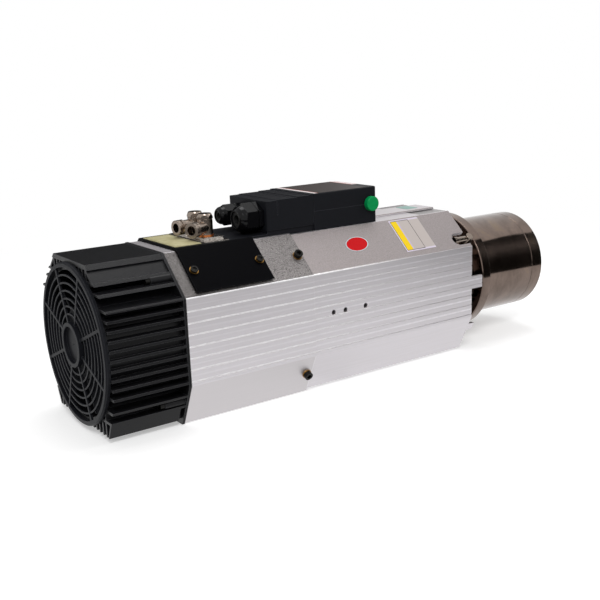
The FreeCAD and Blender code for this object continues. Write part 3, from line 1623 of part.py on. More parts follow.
# ---- Shaft and tool clamp ----------------------------------------------------------------------------------
def taper_end_radius():
    return taper_large_radius - taper_length * taper_ratio / 2.0


def shaft():
    chamber_x = taper_x - knob_bore_length
    step_x0 = stator_start_x - shaft_shoulder_gap
    step_x1 = stator_end_x + rotor_ring_length + 2 * rotor_inset
    nut_x = front_bearing_x - lock_nut_width - 2 * lock_nut_gap
    guide_end = spring_front_x + drawbar_guide_length
    drawbar_bore = drawbar_radius + drawbar_play
    outer = [
        (shaft_rear_x, rear_bore),
        (rear_bearing_end_x, rear_bore),
        (rear_bearing_end_x, shaft_rotor_radius + shaft_shoulder),
        (step_x0, shaft_rotor_radius + shaft_shoulder),
        (step_x0, shaft_rotor_radius),
        (step_x1, shaft_rotor_radius),
        (step_x1, front_bore - shaft_edge_chamfer),
        (nut_x, front_bore - shaft_edge_chamfer),
        (nut_x, front_bore),
        (bearing_end_x, front_bore),
        (bearing_end_x, shaft_lip_radius),
        (shaft_face_x - shaft_edge_chamfer, shaft_lip_radius),
        (shaft_face_x, shaft_lip_radius - shaft_edge_chamfer),
    ]
    bore = [
        (shaft_face_x, taper_large_radius),
        (taper_x, taper_end_radius()),
        (taper_x, knob_bore),
        (chamber_x, knob_bore),
        (chamber_x, jaw_chamber_radius),
        (chamber_x - jaw_chamber_length, jaw_chamber_radius),
        (jaw_rear_x + jaw_guide_length, jaw_guide_radius),
        (guide_end, jaw_guide_radius),
        (guide_end, drawbar_bore),
        (spring_front_x, drawbar_bore),
        (spring_front_x, spring_bore_radius),
        (shaft_rear_x, spring_bore_radius),
    ]
    body = turned(outer + bore)
    return body.cut(spun(key_bar(key_x, shaft_face_x + 1), 2))


def key_bar(x0, x1):
    """Bar of the keys' section at the shaft's rim."""
    half = key_width / 2.0
    return box(x0, x1, -half, half, shaft_lip_radius - key_height, shaft_lip_radius + 1)


def drive_keys():
    """Two keys on the shaft's face that turn the tool holder."""
    key = key_bar(key_x, key_x + key_length)
    key = key.common(rod(key_x, key_x + key_length, shaft_lip_radius))
    return group(spun(key, 2))


def lock_nut(x0, bore, outer):
    x1 = x0 + lock_nut_width
    half = nut_slot_width / 2.0
    slot = box(x0 - 1, x1 + 1, -half, half, outer - nut_slot_depth, outer + 1)
    return ring(x0, x1, outer, bore).cut(spun(slot, nut_slots))


def shaft_lock_nuts():
    """Nuts that clamp the bearings' inner rings."""
    setback = lock_nut_width + lock_nut_gap
    front = lock_nut(front_bearing_x - setback, front_bore, front_bore + front_nut_wall)
    rear = lock_nut(rear_bearing_x - setback, rear_bore, rear_bore + rear_nut_wall)
    return group([front, rear])


def drawbar():
    """Pull rod: collar for the springs at its rear, neck and button for the jaws at its front."""
    collar_x = spring_rear_x - drawbar_collar_length
    shoulder_x = jaw_rear_x - jaw_play
    button_x = jaw_rear_x + drawbar_button_start
    button_radius = drawbar_neck + drawbar_button_rise
    profile = [
        (drawbar_rear_x, 0),
        (drawbar_rear_x, drawbar_radius),
        (collar_x, drawbar_radius),
        (collar_x, spring_outer),
        (spring_rear_x, spring_outer),
        (spring_rear_x, drawbar_radius),
        (shoulder_x, drawbar_radius),
        (shoulder_x, drawbar_neck),
        (button_x, drawbar_neck),
        (button_x, button_radius),
        (button_x + drawbar_button_length, button_radius),
        (button_x + drawbar_button_length, 0),
    ]
    return turned(profile)


def disc_springs():
    """Stack of conical disc springs around the drawbar, drawn with their gaps closed by a thin core."""
    count = int(spring_stack_length / spring_pitch)
    pitch = spring_stack_length / count
    foot = spring_inner + spring_core
    half_edge = spring_edge / 2.0
    wave = []
    for i in range(count):
        x = spring_rear_x + i * pitch
        middle = x + pitch / 2.0
        wave.append((x + spring_end_gap, foot))
        wave.append((middle - half_edge, spring_outer))
        wave.append((middle + half_edge, spring_outer))
        wave.append((x + pitch - spring_end_gap, foot))
    start = (spring_rear_x + spring_end_gap, spring_inner)
    end = (spring_front_x - spring_end_gap, spring_inner)
    return turned([start] + wave + [end])


def gripper_jaw(index):
    """One of the jaws that close behind the tool's pull stud."""
    x0 = jaw_rear_x
    x1 = jaw_front_x
    hollow = jaw_radius - jaw_thickness + jaw_hollow
    claw = hollow - jaw_claw_depth
    tail = drawbar_neck + jaw_neck_clearance
    claw_x = x1 - jaw_claw_length
    profile = [
        (x0, tail),
        (x0, jaw_radius - jaw_tail_edge),
        (x0 + jaw_tail_edge, jaw_radius),
        (x1 - jaw_edge, jaw_radius),
        (x1, jaw_radius - jaw_edge),
        (x1, claw),
        (claw_x, claw),
        (claw_x - jaw_claw_ramp, hollow),
        (x0 + jaw_tail_length, hollow),
        (x0 + jaw_tail_length, tail),
    ]
    step = 360.0 / jaw_count
    sweep = step - jaw_gap_angle
    face = polygon_face([V(x, 0, r) for x, r in profile])
    face.rotate(V(0, 0, 0), X_AXIS, jaw_start_angle + index * step - sweep / 2)
    return face.revolve(V(0, 0, 0), X_AXIS, sweep)


# ---- Clamp cylinder ----------------------------------------------------------------------------------------
def clamp_cylinder():
    """Cylinder for the release piston; its skirt stands in the bulkhead."""
    x1 = bulkhead_start_x + cylinder_spigot
    wall_x = cylinder_front_wall_x
    body = ring(cylinder_start_x, x1, cylinder_radius, cylinder_bore)
    rod_bore = piston_rod_radius + piston_rod_clearance
    wall = ring(wall_x, wall_x + cylinder_wall, cylinder_bore + 1, rod_bore)
    whole = fused([body, wall])
    pad_x0 = block_x - cylinder_pad_rim
    pad_x1 = block_x + block_length + cylinder_pad_rim
    half = cylinder_pad_half_width
    cuts = [box(pad_x0, pad_x1, -half, half, cylinder_pad_z, cylinder_radius + 5)]
    hole = pin(V(sensor_x, 0, cylinder_bore - 5), Z_AXIS, sensor_radius, cylinder_skirt + 10)
    for angle in sensor_angles:
        cuts += spun(hole, 1, angle)
    return whole.cut(cuts)


def cylinder_cover():
    disc = rod(cylinder_start_x - cylinder_cover_thickness, cylinder_start_x, cylinder_radius)
    spigot_end = cylinder_start_x + cylinder_cover_spigot
    spigot = rod(cylinder_start_x - 1, spigot_end, cylinder_bore)
    recess = rod(cylinder_start_x - 1, spigot_end + 1, cylinder_bore - cylinder_cover_rim)
    return fused([disc, spigot]).cut(recess)


def clamp_piston():
    x0 = piston_start_x
    x1 = x0 + piston_thickness
    outer = cylinder_bore - piston_clearance
    groove_foot = outer - 2 * seal_section
    middle = (x0 + x1) / 2.0
    rod_end = drawbar_rear_x - piston_rod_gap
    profile = [
        (x0, 0),
        (x0, outer),
        (middle - seal_section, outer),
        (middle - seal_section, groove_foot),
        (middle + seal_section, groove_foot),
        (middle + seal_section, outer),
        (x1, outer),
        (x1, piston_rod_radius),
        (rod_end, piston_rod_radius),
        (rod_end, 0),
    ]
    return turned(profile)


def piston_seal():
    middle = piston_start_x + piston_thickness / 2.0
    outer = cylinder_bore - seal_gap
    half = seal_section - seal_clearance
    return ring(middle - half, middle + half, outer, outer - 2 * half)


def position_sensors():
    """Proximity switches that tell clamped, released and empty."""
    face = rear_bore + rear_nut_wall + sensor_nut_gap
    length = cylinder_radius + sensor_stub - face
    body = pin(V(sensor_x, 0, face), Z_AXIS, sensor_radius, length)
    head_foot = V(sensor_x, 0, cylinder_radius)
    head = pin(head_foot, Z_AXIS, sensor_radius + sensor_head_rim, sensor_head_height)
    switches = []
    for angle in sensor_angles:
        switches += spun(body.fuse(head), 1, angle)
    return group(switches)


# ---- Whole part --------------------------------------------------------------------------------------------
def build():
    os.makedirs("parts", exist_ok=True)
    pieces = {
        "front_sleeve": front_sleeve(),
        "rear_sleeve": rear_sleeve(),
        "sleeve_screws": sleeve_screws(),
        "screw_washers": screw_washers(),
        "cover_plate": cover_plate(),
        "cover_screws": cover_screws(),
        "rating_plate": rating_plate(),
        "air_block": air_block(),
        "banjo_bolts": banjo_bolts(),
        "banjo_washers": banjo_washers(),
        "left_elbow": elbow(-1),
        "right_elbow": elbow(1),
        "left_release_collet": release_collet(-1),
        "right_release_collet": release_collet(1),
        "connector_base_plate": connector_base_plate(),
        "connector_hood": connector_hood(),
        "plug_insert": plug_insert(),
        "gland_bodies": gland_bodies(),
        "gland_nuts": gland_nuts(),
        "gland_seals": gland_seals(),
        "terminal_box_base": terminal_box_base(),
        "terminal_box_lid": terminal_box_lid(),
        "terminal_block": terminal_block(),
        "box_screws": box_screws(),
        "port_plug": port_plug(),
        "top_strip": top_strip(),
        "motor_housing": motor_housing(),
        "stator_core": stator_core(),
        "stator_windings": stator_windings(),
        "rotor_core": rotor_core(),
        "nose_housing": nose_housing(),
        "nose_cap": nose_cap(),
        "nose_cap_screws": nose_cap_screws(),
        "purge_fitting": purge_fitting(),
        "shaft": shaft(),
        "drive_keys": drive_keys(),
        "shaft_lock_nuts": shaft_lock_nuts(),
        "drawbar": drawbar(),
        "disc_springs": disc_springs(),
        "rear_bearing_housing": rear_bearing_housing(),
        "clamp_cylinder": clamp_cylinder(),
        "cylinder_cover": cylinder_cover(),
        "clamp_piston": clamp_piston(),
        "piston_seal": piston_seal(),
        "position_sensors": position_sensors(),
        "fan_cowl": fan_cowl(),
        "cowl_screws": cowl_screws(),
        "fan_guard": fan_guard(),
        "fan_motor": fan_motor(),
        "fan_impeller": fan_impeller(),
    }
    for index in range(jaw_count):
        pieces["gripper_jaw_%d" % (index + 1)] = gripper_jaw(index)
    front = (front_bearing_x, front_bore, front_outer, front_width)
    rear = (rear_bearing_x, rear_bore, rear_outer, rear_width)
    for piece, name in enumerate(("inner_rings", "cages", "outer_rings")):
        pieces["front_bearing_" + name] = bearing_pair(*front, piece)
        pieces["rear_bearing_" + name] = bearing_pair(*rear, piece)
    for name, shape in pieces.items():
        save(name, shape)
    return pieces


build()
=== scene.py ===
import json
import math

import bmesh
import bpy
from mathutils import Matrix, Vector


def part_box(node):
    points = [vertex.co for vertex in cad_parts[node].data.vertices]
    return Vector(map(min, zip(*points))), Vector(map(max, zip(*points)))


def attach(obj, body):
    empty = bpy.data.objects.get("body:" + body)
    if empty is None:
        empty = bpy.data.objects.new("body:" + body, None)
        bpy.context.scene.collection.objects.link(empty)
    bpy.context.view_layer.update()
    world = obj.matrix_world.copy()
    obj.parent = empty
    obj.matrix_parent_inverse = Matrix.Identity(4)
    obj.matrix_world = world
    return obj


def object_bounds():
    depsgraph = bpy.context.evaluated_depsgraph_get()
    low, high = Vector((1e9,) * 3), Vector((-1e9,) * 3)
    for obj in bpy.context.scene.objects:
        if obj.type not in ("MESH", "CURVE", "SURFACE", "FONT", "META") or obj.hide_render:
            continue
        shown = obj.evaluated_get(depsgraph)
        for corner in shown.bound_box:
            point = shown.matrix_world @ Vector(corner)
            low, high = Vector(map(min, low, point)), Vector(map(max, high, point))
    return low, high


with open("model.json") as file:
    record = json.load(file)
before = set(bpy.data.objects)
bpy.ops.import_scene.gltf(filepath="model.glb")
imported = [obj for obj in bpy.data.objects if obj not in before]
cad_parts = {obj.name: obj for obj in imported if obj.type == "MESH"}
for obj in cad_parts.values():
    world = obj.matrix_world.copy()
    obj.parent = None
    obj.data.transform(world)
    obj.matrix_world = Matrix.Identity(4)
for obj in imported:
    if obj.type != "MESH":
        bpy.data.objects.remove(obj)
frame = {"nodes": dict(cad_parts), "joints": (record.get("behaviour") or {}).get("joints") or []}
cad_low, cad_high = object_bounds()
nodes = frame["nodes"]

MM = 0.001


# ---- Places taken from the frame ---------------------------------------------------------------------------
def spindle_axis():
    """The point on the spindle's axis above the origin."""
    for joint in frame["joints"]:
        if joint["name"] == "shaft_spin":
            return Vector(joint["pos_m"])
    raise ValueError("the shaft has no joint")


AXIS = spindle_axis()
rear_end_x, seam_x = (corner.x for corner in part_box("rear_sleeve"))
front_end_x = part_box("front_sleeve")[1].x
strip_top_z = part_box("top_strip")[1].z
lid_low, lid_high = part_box("terminal_box_lid")
plate_low, plate_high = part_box("rating_plate")

# The front sleeve's upper chamfer on the near side: its top edge, its outward and its downhill direction
CHAMFER_TOP = Vector((0, -34.3 * MM, AXIS.z + 71.3 * MM))
CHAMFER_OUT = Vector((0, -0.6804, 0.7328))
CHAMFER_DOWN = Vector((0, -0.7328, -0.6804))

# Grooves in the sleeves' sides, the painted highlight on the corner above them and the smooth band below them
GROOVE_TOP = AXIS.z + 28.5 * MM
GROOVE_PITCH = 9.9 * MM
FIELD_MIDDLE = 2.95        # of the grooved field, in pitches below its top
FIELD_REACH = 3.5          # half its height, in pitches
CORNER_HIGHLIGHT_Z = AXIS.z + 39.2 * MM
CORNER_HIGHLIGHT_REACH = 0.6 * MM
SMOOTH_TOP = AXIS.z - 35 * MM
# Painted highlight along the rear sleeve's front edge, in the smooth band
SEAM_HIGHLIGHT_X = seam_x - 0.5 * MM
SEAM_HIGHLIGHT_REACH = 0.4 * MM

# Printed sheets, in millimetres; places on the chamfer are along the body and downhill
SHEET_THICKNESS = 0.15
SHEET_GAP = 0.03           # below each sheet
OVAL_LENGTH = 26.2
OVAL_WIDTH = 16.2
OVAL_TURN = math.radians(7)
OVAL_PLACE = (190, 22.3)
LABEL_LENGTH = 37
LABEL_WIDTH = 38.8
LABEL_CORNER = 0.6
LABEL_PLACE = (258.6, 21.7)
TEAL_LENGTH = 15
TEAL_WIDTH = 18
TEAL_CORNER = 1.0
TEAL_PLACE = (298.5, 3)    # along the body and sideways on the top strip
LID_SHEET_INSET = 2.4      # both sides together
LID_SHEET_CORNER = 0.8
LID_SHEET_LENGTH = (lid_high.x - lid_low.x) / MM - LID_SHEET_INSET
LID_SHEET_WIDTH = (lid_high.y - lid_low.y) / MM - LID_SHEET_INSET
PLATE_LINE_INSET = 1.8 * MM
PLATE_LINE_REACH = 0.22 * MM


# ---- Node and material helpers -----------------------------------------------------------------------------
def colour(code):
    """sRGB hex code to a linear RGBA value."""
    channels = [int(code[i:i + 2], 16) / 255 for i in (1, 3, 5)]
    linear = [c / 12.92 if c <= 0.04045 else ((c + 0.055) / 1.055) ** 2.4 for c in channels]
    return (*linear, 1.0)


def grey(level):
    return (level, level, level, 1.0)


def add(tree, kind, links=None, stops=None, **settings):
    """Add a node with its settings. links gives each input a value, a hex code or another node's output, and
    stops fill a colour ramp with hex codes or grey levels. A Mix node's colours are inputs 6 and 7 and output
    2, because its sockets share their names."""
    made = tree.nodes.new(kind)
    for name, value in settings.items():
        setattr(made, name, value)
    if stops:
        band = made.color_ramp
        while len(band.elements) < len(stops):
            band.elements.new(0.5)
        for element, (position, tint) in zip(band.elements, stops):
            element.position = position
            element.color = colour(tint) if isinstance(tint, str) else grey(tint)
    for socket, source in (links or {}).items():
        if isinstance(source, bpy.types.NodeSocket):
            tree.links.new(source, made.inputs[socket])
        else:
            made.inputs[socket].default_value = colour(source) if isinstance(source, str) else source
    return made


def blank(name, **values):
    """A new material with its shader's plain numbers set, ready for a finish."""
    material = bpy.data.materials.new(name)
    material.use_nodes = True
    tree = material.node_tree
    tree.nodes.clear()
    numbers = {key.replace("_", " "): value for key, value in values.items()}
    shader = add(tree, "ShaderNodeBsdfPrincipled", numbers)
    add(tree, "ShaderNodeOutputMaterial", {"Surface": shader.outputs["BSDF"]})
    place = add(tree, "ShaderNodeTexCoord").outputs["Object"]
    return material, tree, shader, place


def connect(tree, shader, **sources):
    """Lead colour, gloss and relief to the shader."""
    for name, source in sources.items():
        tree.links.new(source, shader.inputs[name.replace("_", " ")])


# ---- Finishes of the body ----------------------------------------------------------------------------------
def even_finish(name, code, roughness, darker=None, grain_mm=0.5, bump=0.1, spread=0.06, edge_mm=0.0,
                edge=None, **values):
    """A finish with an even grain: colour, gloss and relief vary slightly with it. grain_mm is the grain's
    width, coarser than the real one where that is too fine to show. edge_mm rounds sharp edges, and edge is
    the colour of a painted highlight along them."""
    material, tree, shader, place = blank(name, **values)
    grain = {"Vector": place, "Scale": 1.0 / (grain_mm * MM), "Detail": 3.0, "Roughness": 0.6}
    grain = add(tree, "ShaderNodeTexNoise", grain).outputs["Fac"]
    base = [(0.3, darker or code), (0.7, code)]
    base = add(tree, "ShaderNodeValToRGB", {"Fac": grain}, base).outputs["Color"]
    gloss = {"Value": grain, "To Min": roughness - spread, "To Max": roughness + spread}
    gloss = add(tree, "ShaderNodeMapRange", gloss).outputs["Result"]
    relief = {"Height": grain, "Strength": bump, "Distance": 0.2 * MM}
    if edge_mm:
        rounded = add(tree, "ShaderNodeBevel", {"Radius": edge_mm * MM}, samples=4).outputs["Normal"]
        relief["Normal"] = rounded
    # Painted highlight: edges turn towards the edge colour where the rounded normal bends away from the flat
    # one
    if edge:
        flat = add(tree, "ShaderNodeNewGeometry").outputs["Normal"]
        bend = add(tree, "ShaderNodeVectorMath", {0: rounded, 1: flat}, operation="DOT_PRODUCT")
        edge_highlight = {"Value": bend.outputs["Value"], "From Min": 0.995, "From Max": 0.86}
        edge_highlight = add(tree, "ShaderNodeMapRange", edge_highlight).outputs["Result"]
        base = add(tree, "ShaderNodeMix", {0: edge_highlight, 6: base, 7: edge}, data_type="RGBA").outputs[2]
    relief = add(tree, "ShaderNodeBump", relief).outputs["Normal"]
    connect(tree, shader, Base_Color=base, Roughness=gloss, Normal=relief)
    return material


def painted_highlight_masks(tree, place):
    """Masks of painted highlights: on the lips along the grooves, on the beads midway between the grooves and
    on the corner above them. Lips and corner are brightest at the rear, the beads at the front."""
    spot = add(tree, "ShaderNodeSeparateXYZ", {"Vector": place}).outputs
    steps = {0: spot["Z"], 1: -1 / GROOVE_PITCH, 2: GROOVE_TOP / GROOVE_PITCH}
    steps = add(tree, "ShaderNodeMath", steps, operation="MULTIPLY_ADD").outputs[0]
    below = add(tree, "ShaderNodeMath", {0: steps}, operation="FRACT").outputs[0]
    lip_highlight = [(0.0, 0.6), (0.03, 1), (0.1, 0), (0.9, 0), (0.96, 1)]
    lip_highlight = add(tree, "ShaderNodeValToRGB", {"Fac": below}, lip_highlight).outputs["Color"]
    bead_highlight = [(0.38, 0), (0.46, 1), (0.51, 1), (0.6, 0)]
    bead_highlight = add(tree, "ShaderNodeValToRGB", {"Fac": below}, bead_highlight).outputs["Color"]
    # The painted highlights break up in patches about 6 mm long and 11 mm high
    along = add(tree, "ShaderNodeMapping", {"Vector": place, "Scale": (160, 90, 90)}).outputs["Vector"]
    broken = {"Vector": along, "Scale": 1.0, "Detail": 6.0, "Roughness": 0.8}
    broken = add(tree, "ShaderNodeTexNoise", broken).outputs["Fac"]
    highlight_patches = {"Value": broken, "From Min": 0.38, "From Max": 0.58, "To Min": 0.5, "To Max": 1.0}
    highlight_patches = add(tree, "ShaderNodeMapRange", highlight_patches).outputs["Result"]
    # Painted highlight along the chamfer's lower corner
    corner = {0: spot["Z"], 1: CORNER_HIGHLIGHT_Z, 2: CORNER_HIGHLIGHT_REACH}
    corner = add(tree, "ShaderNodeMath", corner, operation="COMPARE").outputs[0]
    field = {0: steps, 1: FIELD_MIDDLE, 2: FIELD_REACH}
    field = add(tree, "ShaderNodeMath", field, operation="COMPARE").outputs[0]
    masks = []
    for mask, rear_share, front_share in ((lip_highlight, 1.2, 0.1), (bead_highlight, 0.3, 1.0), (corner, 1.2, -0.2)):
        share = {"Value": spot["X"], "From Min": seam_x - 40 * MM, "From Max": front_end_x - 50 * MM,
                 "To Min": rear_share, "To Max": front_share}
        share = add(tree, "ShaderNodeMapRange", share).outputs["Result"]
        mask = add(tree, "ShaderNodeMath", {0: mask, 1: highlight_patches}, operation="MULTIPLY").outputs[0]
        masks.append(add(tree, "ShaderNodeMath", {0: mask, 1: share}, operation="MULTIPLY").outputs[0])
    lip_highlight, bead_highlight, corner = masks
    lip_highlight = add(tree, "ShaderNodeMath", {0: lip_highlight, 1: field}, operation="MULTIPLY").outputs[0]
    bead_highlight = add(tree, "ShaderNodeMath", {0: bead_highlight, 1: field}, operation="MULTIPLY").outputs[0]
    return lip_highlight, bead_highlight, corner


def anodised_extrusion():
    """Anodised aluminium extrusion. Drawing leaves fine lines along the sides; the lips at the grooves, the
    beads between them, the corner above them and the rear sleeve's front edge carry painted highlights, and
    the deck painted shade. The front sleeve's chamfers are blasted matt; the rear sleeve's are brushed by
    hand in short swirls, with painted shade darker towards its rear end."""
    material, tree, shader, place = blank("anodised_extrusion", Metallic=1.0)
    rounded = add(tree, "ShaderNodeBevel", {"Radius": 0.8 * MM}, samples=4).outputs["Normal"]
    # Sides face 1 sideways, chamfers 0.68 sideways and upward, and the deck 1 upward
    facing = add(tree, "ShaderNodeNewGeometry").outputs["Normal"]
    facing = add(tree, "ShaderNodeSeparateXYZ", {"Vector": facing}).outputs
    sideways = add(tree, "ShaderNodeMath", {0: facing["Y"]}, operation="ABSOLUTE").outputs[0]
    on_side = {"Value": sideways, "From Min": 0.92, "From Max": 0.97}
    on_side = add(tree, "ShaderNodeMapRange", on_side).outputs["Result"]
    sloping = add(tree, "ShaderNodeMath", {0: sideways, 1: 0.68, 2: 0.1}, operation="COMPARE").outputs[0]
    upward = add(tree, "ShaderNodeMath", {0: facing["Z"], 1: 0.3}, operation="GREATER_THAN").outputs[0]
    sloping = add(tree, "ShaderNodeMath", {0: sloping, 1: upward}, operation="MULTIPLY").outputs[0]
    # The deck's upward faces get painted shade: a darker colour than the sides
    deck_shade = add(tree, "ShaderNodeMath", {0: facing["Z"], 1: 0.9}, operation="GREATER_THAN").outputs[0]
    spot = add(tree, "ShaderNodeSeparateXYZ", {"Vector": place}).outputs
    in_front = add(tree, "ShaderNodeMath", {0: spot["X"], 1: seam_x}, operation="GREATER_THAN").outputs[0]

    # Lines 1.1 mm apart and 70 mm long, blasting of 0.9 mm and swirls of 3.2 mm: all coarser than the real
    # ones, so that they show
    lengthways = add(tree, "ShaderNodeMapping", {"Vector": place, "Scale": (14, 900, 900)}).outputs["Vector"]
    drawn = {"Vector": lengthways, "Scale": 1.0, "Detail": 3.0}
    drawn = add(tree, "ShaderNodeTexNoise", drawn).outputs["Fac"]
    blasted = {"Vector": place, "Scale": 1 / (0.9 * MM), "Detail": 2.0, "Roughness": 0.7}
    blasted = add(tree, "ShaderNodeTexNoise", blasted).outputs["Fac"]
    swirls = {"Vector": place, "Scale": 1 / (3.2 * MM), "Detail": 5.0, "Roughness": 0.75, "Distortion": 3.0}
    swirls = add(tree, "ShaderNodeTexNoise", swirls).outputs["Fac"]

    sides = [(0.3, "#D6D2D5"), (0.7, "#DCD8DC")]
    sides = add(tree, "ShaderNodeValToRGB", {"Fac": drawn}, sides).outputs["Color"]
    matt = [(0.25, "#888281"), (0.75, "#A79F9F")]
    matt = add(tree, "ShaderNodeValToRGB", {"Fac": blasted}, matt).outputs["Color"]
    brushed = [(0.36, "#4F4C4B"), (0.47, "#6C6867"), (0.51, "#ABA7A6"), (0.56, "#625E5D")]
    brushed = add(tree, "ShaderNodeValToRGB", {"Fac": swirls}, brushed).outputs["Color"]
    # Painted shade: the rear sleeve's chamfers get darker towards its rear end
    shade = {"Value": spot["X"], "From Min": rear_end_x, "From Max": rear_end_x + 90 * MM, "To Min": 0.6,
             "To Max": 1.0}
    shade = add(tree, "ShaderNodeMapRange", shade).outputs["Result"]
    brushed = {0: 1.0, 6: brushed, 7: shade}
    brushed = add(tree, "ShaderNodeMix", brushed, data_type="RGBA", blend_type="MULTIPLY").outputs[2]
    chamfers = {0: in_front, 6: brushed, 7: matt}
    chamfers = add(tree, "ShaderNodeMix", chamfers, data_type="RGBA").outputs[2]

    lip_highlight, bead_highlight, corner = painted_highlight_masks(tree, place)
    lip_highlight = add(tree, "ShaderNodeMath", {0: lip_highlight, 1: on_side}, operation="MULTIPLY").outputs[0]
    bead_highlight = add(tree, "ShaderNodeMath", {0: bead_highlight, 1: on_side}, operation="MULTIPLY").outputs[0]
    smooth = add(tree, "ShaderNodeMath", {0: spot["Z"], 1: SMOOTH_TOP}, operation="LESS_THAN").outputs[0]
    behind = add(tree, "ShaderNodeMath", {0: 1.0, 1: in_front}, operation="SUBTRACT").outputs[0]
    duller = add(tree, "ShaderNodeMath", {0: smooth, 1: behind}, operation="MULTIPLY").outputs[0]
    # Painted highlight along the rear sleeve's front edge, in the smooth band
    seam_highlight = {0: spot["X"], 1: SEAM_HIGHLIGHT_X, 2: SEAM_HIGHLIGHT_REACH}
    seam_highlight = add(tree, "ShaderNodeMath", seam_highlight, operation="COMPARE").outputs[0]
    seam_highlight = add(tree, "ShaderNodeMath", {0: seam_highlight, 1: smooth}, operation="MULTIPLY").outputs[0]
    # Each layer covers the ones before it
    # The deck layer is painted shade; the bead, lip, corner and seam layers are painted highlights
    layers = [(sloping, chamfers), (deck_shade, "#C4C0C2"), (bead_highlight, "#F3F0F4"), (lip_highlight, "#FFFEFF"),
              (corner, "#FFFEFF"), (duller, "#D0CCCE"), (seam_highlight, "#E4E1E4")]
    base = sides
    for mask, tint in layers:
        base = add(tree, "ShaderNodeMix", {0: mask, 6: base, 7: tint}, data_type="RGBA").outputs[2]

    grain = add(tree, "ShaderNodeMix", {0: sloping, 2: drawn, 3: blasted}, data_type="FLOAT").outputs[0]
    gloss = {"Value": grain, "To Min": 0.36, "To Max": 0.52}
    gloss = add(tree, "ShaderNodeMapRange", gloss).outputs["Result"]
    gloss = add(tree, "ShaderNodeMath", {0: sloping, 1: 0.1, 2: gloss}, operation="MULTIPLY_ADD").outputs[0]
    relief = {"Height": grain, "Strength": 0.22, "Distance": 0.1 * MM, "Normal": rounded}
    relief = add(tree, "ShaderNodeBump", relief).outputs["Normal"]
    connect(tree, shader, Base_Color=base, Roughness=gloss, Normal=relief)
    return material


def browned_steel():
    """Turned steel, browned by heat treatment: cloudy warm stains over fine turning marks."""
    material, tree, shader, place = blank("browned_steel", Metallic=1.0)
    # Stains 22 to 33 mm across, and turning marks 0.45 mm apart, coarser than the real ones
    cloudy = add(tree, "ShaderNodeMapping", {"Vector": place, "Scale": (45, 30, 30)}).outputs["Vector"]
    clouds = {"Vector": cloudy, "Scale": 1.0, "Detail": 6.0, "Roughness": 0.66, "Distortion": 0.6}
    clouds = add(tree, "ShaderNodeTexNoise", clouds).outputs["Fac"]
    round_cuts = add(tree, "ShaderNodeMapping", {"Vector": place, "Scale": (2200, 5, 5)}).outputs["Vector"]
    turning = {"Vector": round_cuts, "Scale": 1.0, "Detail": 2.0}
    turning = add(tree, "ShaderNodeTexNoise", turning).outputs["Fac"]
    base = [(0.3, "#62554E"), (0.46, "#72645C"), (0.56, "#7B6C64"), (0.72, "#857463")]
    base = add(tree, "ShaderNodeValToRGB", {"Fac": clouds}, base).outputs["Color"]
    gloss = {"Value": clouds, "To Min": 0.08, "To Max": 0.15}
    gloss = add(tree, "ShaderNodeMapRange", gloss).outputs["Result"]
    rounded = add(tree, "ShaderNodeBevel", {"Radius": 0.5 * MM}, samples=4).outputs["Normal"]
    relief = {"Height": turning, "Strength": 0.1, "Distance": 0.1 * MM, "Normal": rounded}
    relief = add(tree, "ShaderNodeBump", relief).outputs["Normal"]
    connect(tree, shader, Base_Color=base, Roughness=gloss, Normal=relief)
    return material


def gold_foil_plate():
    """Pale gold foil on the rating plate, left without lettering: a thin printed frame near its edge."""
    material, tree, shader, place = blank("gold_foil_plate", Metallic=0.35, Roughness=0.34)
    middle = (plate_low + plate_high) / 2
    half = (plate_high - plate_low) / 2
    centred = add(tree, "ShaderNodeVectorMath", {0: place, 1: middle}, operation="SUBTRACT").outputs[0]
    apart = add(tree, "ShaderNodeVectorMath", {0: centred}, operation="ABSOLUTE").outputs[0]
    apart = add(tree, "ShaderNodeSeparateXYZ", {"Vector": apart}).outputs
    from_end = add(tree, "ShaderNodeMath", {0: half.x, 1: apart["X"]}, operation="SUBTRACT").outputs[0]
    from_side = add(tree, "ShaderNodeMath", {0: half.y, 1: apart["Y"]}, operation="SUBTRACT").outputs[0]
    inset = add(tree, "ShaderNodeMath", {0: from_end, 1: from_side}, operation="MINIMUM").outputs[0]
    line = {0: inset, 1: PLATE_LINE_INSET, 2: PLATE_LINE_REACH}
    line = add(tree, "ShaderNodeMath", line, operation="COMPARE").outputs[0]
    wavy = {"Vector": place, "Scale": 1 / (6 * MM), "Detail": 3.0}
    wavy = add(tree, "ShaderNodeTexNoise", wavy).outputs["Fac"]
    foil = [(0.35, "#D8CF9C"), (0.65, "#E9E2B6")]
    foil = add(tree, "ShaderNodeValToRGB", {"Fac": wavy}, foil).outputs["Color"]
    base = add(tree, "ShaderNodeMix", {0: line, 6: foil, 7: "#8B8560"}, data_type="RGBA").outputs[2]
    relief = {"Height": wavy, "Strength": 0.15, "Distance": 0.2 * MM}
    relief = add(tree, "ShaderNodeBump", relief).outputs["Normal"]
    connect(tree, shader, Base_Color=base, Normal=relief)
    return material


